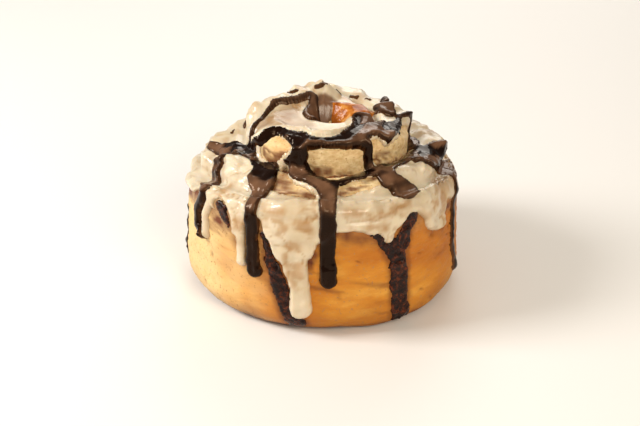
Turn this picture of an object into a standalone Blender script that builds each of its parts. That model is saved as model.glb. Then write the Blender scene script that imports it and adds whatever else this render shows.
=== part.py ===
"""A glazed cinnamon roll: one long strip of dough rolled into a spiral with a thin sheet of
cinnamon filling between its wraps, a skin of cream icing over its top with drips down the
side, and a thick web of chocolate sauce over the icing. It stands on z = 0, with its front at -Y."""

import math

import bmesh
import bpy
from mathutils import Vector
from mathutils.bvhtree import BVHTree

MM = 0.001

# The rolled strip, in millimetres and in turns counted from its loose end.
WALL_RADIUS = 49.6
TURNS = 4.2
TAIL_AZIMUTH = 125.0
SECTION_STEP = 12.0
WRAP_GAP = 1.6
FILLING_THICKNESS = 1.0
NODE_GAP = 0.3
BASE_ROUNDING = 9.0
WALL_TAPER = 1.2
INNER_ROUNDING = 1.6
CORE_RADIUS = 0.4

# Thickness of the strip, then the height of its top, at a few places along it.
STRIP_THICKNESS = [(0.0, 4.0), (0.35, 6.8), (0.6, 8.4), (0.85, 9.0), (1.2, 9.0), (1.6, 9.8), (2.0, 11.4), (2.6, 12.4), (4.3, 11.0)]
TOP_HEIGHT = [
    (0.0, 38.0), (0.10, 39.0), (0.22, 40.5), (0.35, 42.5), (0.47, 47.0), (0.60, 50.4), (0.72, 47.0),
    (0.85, 38.8), (0.94, 38.0), (1.10, 49.0), (1.22, 48.5), (1.35, 50.5), (1.47, 52.5), (1.60, 52.8),
    (1.72, 52.0), (1.85, 49.5), (1.95, 52.5), (2.10, 61.0), (2.22, 59.5), (2.35, 59.5), (2.47, 63.0),
    (2.60, 64.2), (2.72, 62.5), (2.85, 60.0), (2.96, 61.5), (3.10, 62.5), (3.22, 60.5), (3.35, 58.0),
    (3.60, 57.5), (3.85, 57.0), (4.00, 54.5), (4.30, 52.0),
]
TOP_TILT = [
    (0.0, 0.0), (1.0, 0.0), (1.1, 3.0), (1.35, 2.0), (1.6, 0.8), (1.72, 4.0), (1.85, 7.0), (2.1, 2.0),
    (2.35, 2.0), (2.6, 0.6), (2.85, 5.0), (3.1, 0.0), (3.5, -2.0), (4.3, -1.0),
]

# The skins are drawn on a globe around one point inside the roll: places on it are a longitude
# (the azimuth) and a latitude in degrees, and a route is a list of places, each with the
# half-width of the flow there in millimetres.
GLOBE_HEIGHT = 20.0
LONGITUDE_STEP = 4.5
LATITUDE_STEP = 5.1
LOWEST_LATITUDE = -17.0
HIGHEST_LATITUDE = 85.0
SKIN_CLEARANCE = 0.45
LEAST_REACH = 32.0
SKIN_EDGE = 0.7

ICING_EDGE = [
    (-180, 14), (-168, 18), (-153, 24), (-144, 24), (-134, 20), (-121, 21), (-115, 24), (-90, 21), (-84, 22.5),
    (-75, 22), (-66, 19), (-58, 20), (-51, 24), (-43, 20.5), (-36, 15), (-27, 17), (-15, 19), (5, 14), (30, 17),
    (55, 12), (80, 17), (105, 12), (135, 15), (160, 12), (180, 14),
]
ICING_DRIPS = [
    [(-145, 25, 2.6), (-147, 18, 2.1), (-146.5, 12, 2.3)],
    [(-125.5, 22, 3.2), (-125, 14, 2.4), (-124.5, 6, 2.4)],
    [(-104, 25, 12.0), (-102, 12, 7.0), (-99.5, -1, 4.6), (-98.8, -9, 4.4)],
    [(-62, 21, 4.5), (-62, 18.5, 2.6)],
    [(-36, 20, 6.0), (-33, 16, 4.6)],
    [(21, 16, 3.4), (22, 3, 2.6), (22, -4, 2.8)],
    [(62, 14, 3.2), (61, 6, 2.4), (61, -1, 2.6)],
    [(112, 14, 5.0), (110, 2, 3.0), (110, -6, 3.0)],
    [(152, 14, 3.0), (154, 6, 2.2), (154, 3, 2.3)],
]
BARE_DOUGH = [
    [(-128, 43, 2.0), (-116, 42.5, 4.6), (-98, 42.5, 4.6), (-80, 43, 4.2), (-66, 46, 3.0)],
    [(-140, 55, 5.0), (-120, 54, 5.0), (-100, 54, 6.0), (-60, 54, 6.0), (-46, 53, 4.5)],
    [(-36, 50, 3.6), (-20, 50, 4.4), (0, 50, 3.6)],
    [(-80, 80, 9.5), (60, 80, 9.5)],
]
SAUCE_ROUTES = [
    [(-153, 54, 3.0), (-146, 62, 4.0), (-130, 65, 4.5), (-102, 63, 5.8), (-84, 63, 5.8), (-62, 62, 5.4), (-47, 58, 4.0)],
    [(-160, 53, 3.0), (-178, 58, 2.4), (150, 62, 2.4), (128, 64, 2.4), (108, 66, 2.6), (92, 64, 3.0)],
    [(-150, 53, 4.2), (-165, 49, 3.6), (-180, 40, 3.4), (172, 31, 3.0), (175, 21, 2.6)],
    [(-180, 40, 3.4), (-170, 32, 3.2), (-156, 27, 3.0), (-153, 19, 2.9), (-153, 11, 2.8)],
    [(-120, 56, 4.0), (-130, 50, 6.0), (-137, 43, 5.0), (-130, 37, 3.6), (-121.5, 29, 3.2), (-119.5, 18, 3.0), (-118.4, 6.5, 3.2)],
    [(-114, 57, 3.6), (-107, 50, 3.2), (-96, 43, 3.0), (-88, 39, 3.6), (-87.6, 28, 3.1), (-87.7, 5, 3.2)],
    [(-88, 39, 3.2), (-77, 42, 2.6), (-65, 45, 2.6), (-47, 48, 2.8)],
    [(-47, 58, 3.0), (-46, 52, 2.6), (-47, 46, 3.2), (-47, 40, 4.0), (-45, 35, 4.2)],
    [(-46, 48, 3.4), (-30, 47, 3.6), (-15, 42, 3.6), (-8, 34, 3.6), (-11, 27, 3.4), (-17, 19, 3.0), (-18, 4, 2.9), (-18, -9, 2.7)],
    [(-47, 58, 3.0), (-28, 61, 3.2), (-4, 57, 2.8), (8, 50, 2.6), (0, 42, 2.4), (-10, 39, 2.6)],
    [(8, 52, 2.6), (30, 58, 2.8), (48, 60, 2.6)],
    [(92, 64, 3.0), (80, 55, 2.8), (72, 42, 2.6), (76, 28, 2.6), (75, 14, 2.2), (76, 6, 2.4)],
    [(128, 64, 2.6), (138, 48, 2.6), (134, 34, 2.6), (136, 22, 2.2), (135, 4, 2.4)],
]
BURNT_STREAKS = [
    [[(-114.5, 20, 1.8), (-112.5, 13, 1.9), (-109.5, 7, 2.0), (-106.4, -4, 2.2), (-102.5, -12, 2.4)]],
    [
        [(-67, 19, 2.2), (-61.5, 14, 2.6), (-57.5, 7, 3.2), (-56.8, -2, 3.4), (-56.0, -12, 3.2)],
        [(-49.5, 23, 2.2), (-53, 18, 2.8), (-57.5, 10, 3.0)],
    ],
]


def smooth(x):
    """Rises from 0 to 1 as x goes from 0 to 1, level at both ends."""
    x = min(1.0, max(0.0, x))
    return x * x * (3.0 - 2.0 * x)


def between(places, x):
    """The value at x of a list of (place, value), eased from each place to the next."""
    if x <= places[0][0]:
        return places[0][1]
    for (x0, v0), (x1, v1) in zip(places, places[1:]):
        if x <= x1:
            return v0 + (v1 - v0) * smooth((x - x0) / (x1 - x0))
    return places[-1][1]


def wall_radius(azimuth):
    """The roll isn't a true circle: its wall swells and dips by less than a millimetre."""
    a = math.radians(azimuth)
    return WALL_RADIUS + 0.5 * math.cos(2 * a + 0.6) + 0.3 * math.cos(3 * a - 1.0)


def azimuth_of(turn):
    return TAIL_AZIMUTH - 360.0 * turn


def outer_radius(turn):
    """The outer face of the strip: the wall on the first turn, then what the turn outside it leaves."""
    if turn < 1.0:
        tuck = STRIP_THICKNESS[0][1] + WRAP_GAP
        return wall_radius(azimuth_of(turn)) - tuck * smooth((turn - 0.9) / 0.1)
    return max(inner_radius(turn - 1.0) - WRAP_GAP, 2.4)


def inner_radius(turn):
    return max(outer_radius(turn) - between(STRIP_THICKNESS, turn), CORE_RADIUS)


def section(turn):
    """The outline of the strip across one place, as (radius, height) from its foot outward and over."""
    outside = outer_radius(turn)
    inside = inner_radius(turn)
    width = outside - inside
    top = between(TOP_HEIGHT, turn)
    tilt = between(TOP_TILT, turn) / 2
    first = smooth((1.03 - turn) / 0.12)
    foot = INNER_ROUNDING + (BASE_ROUNDING - INNER_ROUNDING) * first
    foot = min(foot, 0.8 * width)
    inner_foot = min(INNER_ROUNDING, 0.15 * width)
    shoulder = 3.2 + 1.8 * first
    points = [(inside + inner_foot, 0.0), (outside - foot, 0.0)]
    for angle in (30, 60):
        a = math.radians(angle)
        points.append((outside - foot + foot * math.sin(a), foot - foot * math.cos(a)))
    points.append((outside, foot))
    low = top - tilt - shoulder
    points.append((outside - 0.3 * first, (foot + low) / 2))
    brim = outside - WALL_TAPER * first
    points.append((brim, low))
    across = min(shoulder, 0.42 * width)
    for angle in (30, 60):
        a = math.radians(angle)
        points.append((brim - across * (1 - math.cos(a)), low + shoulder * math.sin(a)))
    points.append((brim - across, top - tilt * 0.5))
    points.append(((outside + inside) / 2, top + 0.3))
    inner_across = min(2.4, 0.3 * width)
    points.append((inside + inner_across, top + tilt * 0.7))
    points.append((inside + 0.3 * inner_across, top + tilt - 0.9))
    points.append((inside, top + tilt - 2.6))
    points.append((inside, inner_foot))
    return points


def mesh_object(name, vertices, faces, colour, roughness):
    """One named object from millimetre vertices, with a material of its own."""
    mesh = bpy.data.meshes.new(name)
    mesh.from_pydata([(x * MM, y * MM, z * MM) for x, y, z in vertices], [], faces)
    mesh.validate()
    made = bpy.data.objects.new(name, mesh)
    bpy.context.scene.collection.objects.link(made)
    work = bmesh.new()
    work.from_mesh(mesh)
    bmesh.ops.recalc_face_normals(work, faces=work.faces)
    if work.calc_volume(signed=True) < 0:
        bmesh.ops.reverse_faces(work, faces=work.faces)
    work.to_mesh(mesh)
    work.free()
    for polygon in mesh.polygons:
        polygon.use_smooth = True
    material = bpy.data.materials.new(name)
    material.use_nodes = True
    shader = material.node_tree.nodes["Principled BSDF"]
    shader.inputs["Base Color"].default_value = (*colour, 1.0)
    shader.inputs["Roughness"].default_value = roughness
    shader.inputs["Metallic"].default_value = 0.0
    mesh.materials.append(material)
    return made


def around(radius, azimuth, height):
    a = math.radians(azimuth)
    return (radius * math.cos(a), radius * math.sin(a), height)


def sweep(outlines, azimuths):
    """A closed body through a row of outlines that have the same number of points."""
    count = len(outlines[0])
    vertices = [around(r, a, z) for outline, a in zip(outlines, azimuths) for r, z in outline]
    faces = []
    for i in range(len(outlines) - 1):
        for j in range(count):
            k = (j + 1) % count
            faces.append((i * count + j, i * count + k, (i + 1) * count + k, (i + 1) * count + j))
    last = (len(outlines) - 1) * count
    faces.append(tuple(range(count)))
    faces.append(tuple(last + j for j in reversed(range(count))))
    return vertices, faces


def strip_turns():
    """Places along the strip, from its loose end to its middle, one every few degrees."""
    count = round(TURNS * 360 / SECTION_STEP)
    return [i * SECTION_STEP / 360 for i in range(count + 1)]


def pinched(outline, share):
    """The outline drawn in toward its own middle, which rounds off an end of the strip."""
    low = min(r for r, z in outline)
    high = max(r for r, z in outline)
    top = max(z for r, z in outline)
    middle = (low + high) / 2
    return [(middle + (r - middle) * share, z if z < 1e-6 else min(z, top - (1 - share) * 4)) for r, z in outline]


def dough():
    turns = strip_turns()
    outlines = [section(t) for t in turns]
    azimuths = [azimuth_of(t) for t in turns]
    outlines.insert(0, pinched(outlines[0], 0.5))
    azimuths.insert(0, azimuths[0] + 2.0)
    vertices, faces = sweep(outlines, azimuths)
    return mesh_object("dough_roll", vertices, faces, (0.66, 0.33, 0.10), 0.55)


def filling():
    """A sheet between each wrap and the next, from just above the floor to just under their tops."""
    outlines = []
    azimuths = []
    last = TURNS - 1.0
    for turn in strip_turns():
        if turn < 0.03 or turn > last:
            continue
        middle = inner_radius(turn) - WRAP_GAP / 2
        inner_edge = between(TOP_HEIGHT, turn) + between(TOP_TILT, turn) / 2 - 2.6
        next_edge = between(TOP_HEIGHT, turn + 1) - between(TOP_TILT, turn + 1) / 2 - 3.2
        top = min(inner_edge, next_edge) + 1.2
        half = FILLING_THICKNESS / 2
        outlines.append([(middle - half, 1.0), (middle + half, 1.0), (middle + half, top - 0.4),
                         (middle, top), (middle - half, top - 0.4)])
        azimuths.append(azimuth_of(turn))
    vertices, faces = sweep(outlines, azimuths)
    return mesh_object("cinnamon_filling", vertices, faces, (0.16, 0.05, 0.015), 0.7)


def on_globe(longitude, latitude, reach):
    a = math.radians(longitude)
    b = math.radians(latitude)
    return Vector((reach * math.cos(b) * math.cos(a), reach * math.cos(b) * math.sin(a), GLOBE_HEIGHT + reach * math.sin(b)))


def reach_to(trees, longitude, latitude):
    """How far from the globe's centre the outermost of the given bodies lies in one direction."""
    start = on_globe(longitude, latitude, 120.0)
    inward = (on_globe(longitude, latitude, 0.0) - start).normalized()
    hits = [tree.ray_cast(start * MM, inward)[3] for tree in trees]
    return 120.0 - min([hit / MM for hit in hits if hit is not None] + [120.0 - LEAST_REACH])


def globe_rows():
    count = round((HIGHEST_LATITUDE - LOWEST_LATITUDE) / LATITUDE_STEP)
    return [LOWEST_LATITUDE + LATITUDE_STEP * j for j in range(count + 1)]


def globe_columns():
    return [-180.0 + LONGITUDE_STEP * i for i in range(round(360 / LONGITUDE_STEP))]


def grid_of(values, change):
    return [[change(i, j, v) for j, v in enumerate(column)] for i, column in enumerate(values)]


def highest_nearby(grid, rings=1):
    """Each value becomes the highest among its neighbours, so that a skin over them clears every bump."""
    columns = len(grid)
    rows = len(grid[0])
    return [
        [
            max(grid[(i + di) % columns][min(rows - 1, max(0, j + dj))]
                for di in range(-rings, rings + 1) for dj in range(-rings, rings + 1))
            for j in range(rows)
        ]
        for i in range(columns)
    ]


def surface_reach(objects):
    """The reach at every place of the globe's grid, clear of the bodies beneath.
    Rays sample it at half steps. Bumps are measured from the usual reach at their latitude, so
    that the slope of the whole roll isn't taken for one."""
    depsgraph = bpy.context.evaluated_depsgraph_get()
    trees = [BVHTree.FromObject(one, depsgraph) for one in objects]
    columns = 2 * len(globe_columns())
    rows = 2 * len(globe_rows()) - 1
    fine = [
        [
            reach_to(trees, -180.0 + i * LONGITUDE_STEP / 2, LOWEST_LATITUDE + j * LATITUDE_STEP / 2)
            for j in range(rows)
        ]
        for i in range(columns)
    ]
    usual = [sum(column[j] for column in fine) / columns for j in range(rows)]
    for j in range(1, rows, 2):
        usual[j] = (usual[j - 1] + usual[j + 1]) / 2
    bumps = highest_nearby(grid_of(fine, lambda i, j, v: v - usual[j]), 2)
    return [
        [usual[j] + bumps[i][j] + SKIN_CLEARANCE for j in range(0, rows, 2)]
        for i in range(0, columns, 2)
    ]


def route_depth(route, longitude, latitude, reach):
    """How deep inside a route a place lies, in millimetres: above 0 inside, below 0 outside."""
    here = on_globe(longitude, latitude, reach)
    best = -100.0
    for (lo0, la0, w0), (lo1, la1, w1) in zip(route, route[1:]):
        turn = (lo1 - lo0 + 180.0) % 360.0 - 180.0
        pieces = 6
        for k in range(pieces + 1):
            share = k / pieces
            there = on_globe(lo0 + turn * share, la0 + (la1 - la0) * share, reach)
            best = max(best, w0 + (w1 - w0) * share - (there - here).length)
    return best


def edge_latitude(longitude):
    return between(ICING_EDGE, longitude)


def icing_depth(longitude, latitude, reach):
    depth = (latitude - edge_latitude(longitude)) * math.radians(reach)
    depth = max([depth] + [route_depth(drip, longitude, latitude, reach) for drip in ICING_DRIPS])
    bare = max(route_depth(patch, longitude, latitude, reach) for patch in BARE_DOUGH)
    return min(depth, -bare, (84.0 - latitude) * 2)


def sauce_depth(longitude, latitude, reach):
    return max(route_depth(route, longitude, latitude, reach) for route in SAUCE_ROUTES)


def depth_grid(depth, reach):
    rows = globe_rows()
    return [
        [depth(longitude, latitude, reach[i][j]) for j, latitude in enumerate(rows)]
        for i, longitude in enumerate(globe_columns())
    ]


def skin(name, depth, lower, upper, colour, roughness):
    """A closed skin over the part of the globe where depth is above 0, cut along that outline.
    Each grid square is two triangles; a triangle that the outline crosses keeps its inner part."""
    columns = globe_columns()
    rows = globe_rows()
    places = []
    known = {}

    def corner(i, j):
        key = (i, j)
        if key not in known:
            known[key] = len(places)
            places.append((columns[i], rows[j], lower[i][j], upper[i][j]))
        return known[key]

    def crossing(a, b):
        key = (min(a, b), max(a, b), "cut")
        if key not in known:
            (ia, ja), (ib, jb) = key[0], key[1]
            share = depth[ia][ja] / (depth[ia][ja] - depth[ib][jb])
            share = min(0.95, max(0.05, share))
            turn = (columns[ib] - columns[ia] + 180.0) % 360.0 - 180.0
            known[key] = len(places)
            low = lower[ia][ja] + (lower[ib][jb] - lower[ia][ja]) * share
            places.append((columns[ia] + turn * share, rows[ja] + (rows[jb] - rows[ja]) * share, low, low + SKIN_EDGE))
        return known[key]

    pieces = []
    for i in range(len(columns)):
        right = (i + 1) % len(columns)
        for j in range(len(rows) - 1):
            if (i + j) % 2:
                halves = [[(i, j), (right, j), (right, j + 1)], [(i, j), (right, j + 1), (i, j + 1)]]
            else:
                halves = [[(i, j), (right, j), (i, j + 1)], [(right, j), (right, j + 1), (i, j + 1)]]
            for half in halves:
                inside = [depth[a][b] > 0 for a, b in half]
                if not any(inside):
                    continue
                outline = []
                for k in range(3):
                    n = (k + 1) % 3
                    if inside[k]:
                        outline.append(corner(*half[k]))
                    if inside[k] != inside[n]:
                        outline.append(crossing(half[k], half[n]))
                pieces.append(outline)

    pieces = largest_patch(pieces)
    used = sorted({v for piece in pieces for v in piece})
    number = {v: k for k, v in enumerate(used)}
    count = len(used)
    vertices = [tuple(on_globe(places[v][0], places[v][1], places[v][2])) for v in used]
    vertices += [tuple(on_globe(places[v][0], places[v][1], places[v][3])) for v in used]
    faces = []
    edges = set()
    for piece in pieces:
        outline = [number[v] for v in piece]
        faces.append(tuple(count + v for v in outline))
        faces.append(tuple(reversed(outline)))
        edges.update(zip(outline, outline[1:] + outline[:1]))
    for a, b in edges:
        if (b, a) not in edges:
            faces.append((a, b, count + b, count + a))
    return mesh_object(name, vertices, faces, colour, roughness)


def largest_patch(pieces):
    """Of the patches that share corners, the one with the most pieces."""
    home = {}

    def root(v):
        while home.setdefault(v, v) != v:
            v = home[v]
        return v

    for piece in pieces:
        for v in piece[1:]:
            home[root(v)] = root(piece[0])
    tally = {}
    for piece in pieces:
        tally[root(piece[0])] = tally.get(root(piece[0]), 0) + 1
    biggest = max(tally, key=tally.get)
    return [piece for piece in pieces if root(piece[0]) == biggest]


def fuse(body, extra):
    """Adds one closed body to another, as one."""
    join = body.modifiers.new("fuse", "BOOLEAN")
    join.operation = "UNION"
    join.solver = "MANIFOLD"
    join.object = extra
    bpy.context.view_layer.objects.active = body
    bpy.ops.object.modifier_apply(modifier=join.name)
    bpy.data.objects.remove(extra, do_unlink=True)


def burn_streaks(body):
    """The filling that leaked out and burnt on the wall, a low crust fused to the dough."""
    reach = surface_reach([body])
    lower = grid_of(reach, lambda i, j, v: v - 2.4)
    upper = grid_of(reach, lambda i, j, v: v + 0.5)
    for routes in BURNT_STREAKS:
        depth = depth_grid(
            lambda longitude, latitude, r, some=routes: max(route_depth(one, longitude, latitude, r) for one in some),
            reach,
        )
        crust = skin("crust", depth, lower, upper, (0.06, 0.02, 0.01), 0.4)
        fuse(body, crust)


def stand_on_origin(objects):
    """Moves every mesh so that the whole roll's bounding box stands centred on the origin."""
    corners = [vertex.co for one in objects for vertex in one.data.vertices]
    low = [min(corner[k] for corner in corners) for k in range(3)]
    high = [max(corner[k] for corner in corners) for k in range(3)]
    shift = Vector((-(low[0] + high[0]) / 2, -(low[1] + high[1]) / 2, -low[2]))
    for one in objects:
        for vertex in one.data.vertices:
            vertex.co += shift
    print("moved by", [round(value / MM, 2) for value in shift])


for old in list(bpy.data.objects):
    bpy.data.objects.remove(old, do_unlink=True)

roll = dough()
sheet = filling()
burn_streaks(roll)
under = surface_reach([roll, sheet])
icing_grid = depth_grid(icing_depth, under)
icing_rise = grid_of(icing_grid, lambda i, j, d: SKIN_EDGE + 1.2 * smooth(d / 4.0) if d > 0 else 0.0)
icing_top = grid_of(under, lambda i, j, v: v + icing_rise[i][j])
icing = skin("cream_icing", icing_grid, under, icing_top, (0.80, 0.64, 0.42), 0.3)
cover = highest_nearby(icing_rise)
sauce_under = grid_of(under, lambda i, j, v: v + cover[i][j] + NODE_GAP)
sauce_grid = depth_grid(sauce_depth, sauce_under)
sauce_top = grid_of(sauce_under, lambda i, j, v: v + 0.8 + 1.3 * smooth(sauce_grid[i][j] / 3.0))
sauce = skin("chocolate_sauce", sauce_grid, sauce_under, sauce_top, (0.028, 0.012, 0.007), 0.15)
stand_on_origin([roll, sheet, icing, sauce])
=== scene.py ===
# %% [markdown]
# # A glazed cinnamon roll
# The real thing is one long strip of soft dough, spread with cinnamon and sugar, rolled up and
# baked standing on its end. Cream icing is spooned over the hot roll and runs down its side, and
# chocolate sauce is poured over that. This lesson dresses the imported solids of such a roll: each
# CAD node is replaced by a finer piece of the same form, with crumb, gloss and small relief.

# %% Open the frame
import math

import bpy
import numpy as np
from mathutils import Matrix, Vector
from mathutils.bvhtree import BVHTree


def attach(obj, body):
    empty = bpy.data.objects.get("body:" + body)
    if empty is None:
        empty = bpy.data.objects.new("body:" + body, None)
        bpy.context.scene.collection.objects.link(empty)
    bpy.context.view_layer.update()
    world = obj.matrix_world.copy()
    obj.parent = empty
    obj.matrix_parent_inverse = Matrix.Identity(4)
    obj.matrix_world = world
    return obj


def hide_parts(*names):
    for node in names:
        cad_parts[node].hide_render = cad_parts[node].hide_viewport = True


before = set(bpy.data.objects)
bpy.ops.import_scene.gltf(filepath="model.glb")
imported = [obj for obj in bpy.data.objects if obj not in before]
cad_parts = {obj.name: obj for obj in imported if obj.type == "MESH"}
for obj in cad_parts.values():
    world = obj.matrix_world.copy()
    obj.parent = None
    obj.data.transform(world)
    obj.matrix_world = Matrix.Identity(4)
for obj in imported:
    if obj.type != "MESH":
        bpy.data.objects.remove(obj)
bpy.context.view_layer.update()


# %% [markdown]
# ## Sizes
# All shapes are worked out in millimetres around the axis of the roll, as they were for the
# solids, and moved by the same small step at the end, because the solids were centred on their
# outline. The strip is described by a few places along it, counted in turns from its loose end:
# how thick it is there, how high its top lies and how much its inner edge stands above its outer
# one. The rounding of its foot is given by azimuth instead, in degrees, where -90 is the front.

# %% Sizes of the roll
MM = 0.001
CENTRING = np.array([-0.46, 2.02, 0.0])
WALL_RADIUS = 49.6
TURNS = 4.2
TAIL_AZIMUTH = 125.0
WRAP_GAP = 1.6
WALL_TAPER = 1.2
INNER_ROUNDING = 1.6
CORE_RADIUS = 0.4
SMALLEST_WRAP = 2.4
EYE_CENTRE, EYE_RADIUS = (2.6, 3.4), 6.6
FOOT_ROUNDING = [
    (-180, 9.5), (-155, 12), (-135, 14), (-105, 12), (-85, 8), (-65, 5), (-40, 5.5), (-10, 8.5),
    (180, 9.5),
]
STRIP_THICKNESS = [
    (0, 4), (0.35, 6.8), (0.6, 8.4), (0.85, 9), (1.2, 9), (1.6, 9.8), (2, 11.4), (2.6, 12.4),
    (4.3, 11),
]
TOP_HEIGHT = [
    (0, 38), (0.10, 39), (0.22, 40.5), (0.35, 42.5), (0.47, 47), (0.60, 50.4), (0.72, 47),
    (0.85, 38.8), (0.94, 38), (1.10, 49), (1.22, 48.5), (1.35, 50.5), (1.47, 52.5), (1.60, 52.8),
    (1.72, 52), (1.85, 49.5), (1.95, 52.5), (2.10, 61), (2.22, 59.5), (2.35, 59.5), (2.47, 63),
    (2.60, 64.2), (2.72, 62.5), (2.85, 60), (2.96, 61.5), (3.10, 62.5), (3.22, 60.5), (3.35, 58),
    (3.60, 57.5), (3.85, 57), (4.00, 54.5), (4.30, 52),
]
TOP_TILT = [
    (0, 0), (1, 0), (1.1, 3), (1.35, 2), (1.6, 0.8), (1.72, 4), (1.85, 7), (2.1, 2), (2.35, 2),
    (2.6, 0.6), (2.85, 5), (3.1, 0), (3.5, -2), (4.3, -1),
]


def ease(x):
    """Rises from 0 to 1 as x goes from 0 to 1, level at both ends. Works on numbers and arrays."""
    x = np.clip(x, 0.0, 1.0)
    return x * x * (3.0 - 2.0 * x)


def between(places, x):
    """The value at x of a list of (place, value), eased from each place to the next."""
    where = [place for place, value in places]
    k = int(np.clip(np.searchsorted(where, x), 1, len(places) - 1))
    (x0, v0), (x1, v1) = places[k - 1], places[k]
    return v0 + (v1 - v0) * float(ease((x - x0) / (x1 - x0)))


def turned(angle):
    """An angle brought between -180 and 180 degrees."""
    return (angle + 180.0) % 360.0 - 180.0


def azimuth_of(turn):
    return TAIL_AZIMUTH - 360.0 * turn


def outer_radius(turn):
    """The outer face of the strip: the wall on the first turn, then what the turn outside it leaves."""
    if turn < 1.0:
        a = math.radians(azimuth_of(turn))
        wall = WALL_RADIUS + 0.5 * math.cos(2 * a + 0.6) + 0.3 * math.cos(3 * a - 1.0)
        tuck = STRIP_THICKNESS[0][1] + WRAP_GAP
        return wall - tuck * float(ease((turn - 0.9) / 0.1))
    return max(inner_radius(turn - 1.0) - WRAP_GAP, SMALLEST_WRAP)


def inner_radius(turn):
    return max(outer_radius(turn) - between(STRIP_THICKNESS, turn), CORE_RADIUS)


third_turn = [round(radius(2.6), 1) for radius in (inner_radius, outer_radius)]
print("on its third turn the strip lies between these radii, in mm:", third_turn)

# %% [markdown]
# ## A noise to roughen things with
# Bread, icing and burnt sugar are never smooth. A lattice noise gives every point in space a
# random height that changes gently over a chosen size, and adding finer and finer copies of it
# gives crags. It is worked out from whole numbers, so every run makes the same roll.

# %% Noise


def lattice_noise(points, size, seed=0):
    """Smooth random heights from -1 to 1 at the given points, changing over the given size."""
    scaled = np.asarray(points, float) / size
    base = np.floor(scaled).astype(np.int64)
    part = scaled - base
    part = part * part * (3.0 - 2.0 * part)
    total = np.zeros(scaled.shape[:-1])
    for corner in range(8):
        step = np.array([corner & 1, corner >> 1 & 1, corner >> 2 & 1])
        cell = base + step
        mix = cell[..., 0] * 73856093 ^ cell[..., 1] * 19349663 ^ cell[..., 2] * 83492791
        mix = mix ^ (seed * 2654435 + 12345)
        mix = (mix ^ (mix >> 13)) * 1274126177 & 0x7FFFFFFF
        mix = (mix ^ (mix >> 16)) & 0xFFFF
        weight = np.prod(np.where(step, part, 1.0 - part), axis=-1)
        total += weight * (mix / 32767.5 - 1.0)
    return total


def crags(points, size, octaves=3, seed=0):
    """Several lattice noises, each half the size and half the height of the one before."""
    return sum(lattice_noise(points, size / 2**k, seed + 7 * k) / 2**k for k in range(octaves))


print("noise at the origin:", round(float(lattice_noise(np.zeros(3), 5.0)), 3))

# %% [markdown]
# ## Turning points into a piece
# Every piece of the roll is one mesh whose object stays at the origin. This helper takes its
# corners in millimetres, its faces, its values per corner for the material to read, and the CAD
# node that it stands for. Recalculating the normals outward is the step that one does by hand with
# Shift N in edit mode.

# %% The helper that makes a piece


def make_piece(name, corners, faces, material, node, values=None):
    mesh = bpy.data.meshes.new(name)
    mesh.from_pydata(((np.asarray(corners) + CENTRING) * MM).tolist(), [], faces)
    mesh.update()
    for key, numbers in (values or {}).items():
        layer = mesh.attributes.new(key, "FLOAT", "POINT")
        layer.data.foreach_set("value", np.asarray(numbers, np.float32))
    piece = bpy.data.objects.new(name, mesh)
    bpy.context.scene.collection.objects.link(piece)
    bpy.ops.object.select_all(action="DESELECT")
    piece.select_set(True)
    bpy.context.view_layer.objects.active = piece
    bpy.ops.object.mode_set(mode="EDIT")
    bpy.ops.mesh.select_all(action="SELECT")
    bpy.ops.mesh.normals_make_consistent(inside=False)
    bpy.ops.object.mode_set(mode="OBJECT")
    bpy.ops.object.shade_smooth()
    mesh.materials.append(material)
    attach(piece, "root")
    if node:
        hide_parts(node)
    triangles = sum(len(face.vertices) - 2 for face in mesh.polygons)
    print(name, "has", len(mesh.vertices), "corners and", triangles, "triangles")
    return piece


# %% [markdown]
# ## Finishes
# Each finish is a principled shader. Its colour comes from noise in object space run through a
# colour ramp, and from values that the meshes carry, such as how browned the dough is there.

# %% Helpers for the finishes


def new_finish(name):
    material = bpy.data.materials.new(name)
    material.use_nodes = True
    tree = material.node_tree
    shader = tree.nodes["Principled BSDF"]
    place = tree.nodes.new("ShaderNodeTexCoord")
    return material, tree, shader, place


def set_values(shader, values):
    for socket, value in values.items():
        shader.inputs[socket].default_value = value


def noise_node(tree, place, scale, detail=4.0, roughness=0.55, stretch=None):
    source = place.outputs["Object"]
    if stretch:
        mapping = tree.nodes.new("ShaderNodeMapping")
        mapping.inputs["Scale"].default_value = stretch
        tree.links.new(source, mapping.inputs["Vector"])
        source = mapping.outputs["Vector"]
    noise = tree.nodes.new("ShaderNodeTexNoise")
    noise.inputs["Scale"].default_value = scale
    noise.inputs["Detail"].default_value = detail
    noise.inputs["Roughness"].default_value = roughness
    tree.links.new(source, noise.inputs["Vector"])
    return noise


def ramp_node(tree, source, stops):
    ramp = tree.nodes.new("ShaderNodeValToRGB")
    while len(ramp.color_ramp.elements) < len(stops):
        ramp.color_ramp.elements.new(0.5)
    for element, (position, colour) in zip(ramp.color_ramp.elements, stops):
        element.position = position
        element.color = (*colour, 1.0)
    tree.links.new(source, ramp.inputs["Fac"])
    return ramp


def mixed(tree, factor, first, second):
    """A colour mix; factor is a socket or a number, first and second are sockets or colours."""
    mix = tree.nodes.new("ShaderNodeMix")
    mix.data_type = "RGBA"
    for socket, value in ((mix.inputs[0], factor), (mix.inputs[6], first), (mix.inputs[7], second)):
        if isinstance(value, bpy.types.NodeSocket):
            tree.links.new(value, socket)
        elif isinstance(value, tuple):
            socket.default_value = (*value, 1.0)
        else:
            socket.default_value = value
    return mix.outputs[2]


def carried(tree, name):
    """The value that the mesh carries under this name."""
    node = tree.nodes.new("ShaderNodeAttribute")
    node.attribute_name = name
    return node.outputs["Fac"]


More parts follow.
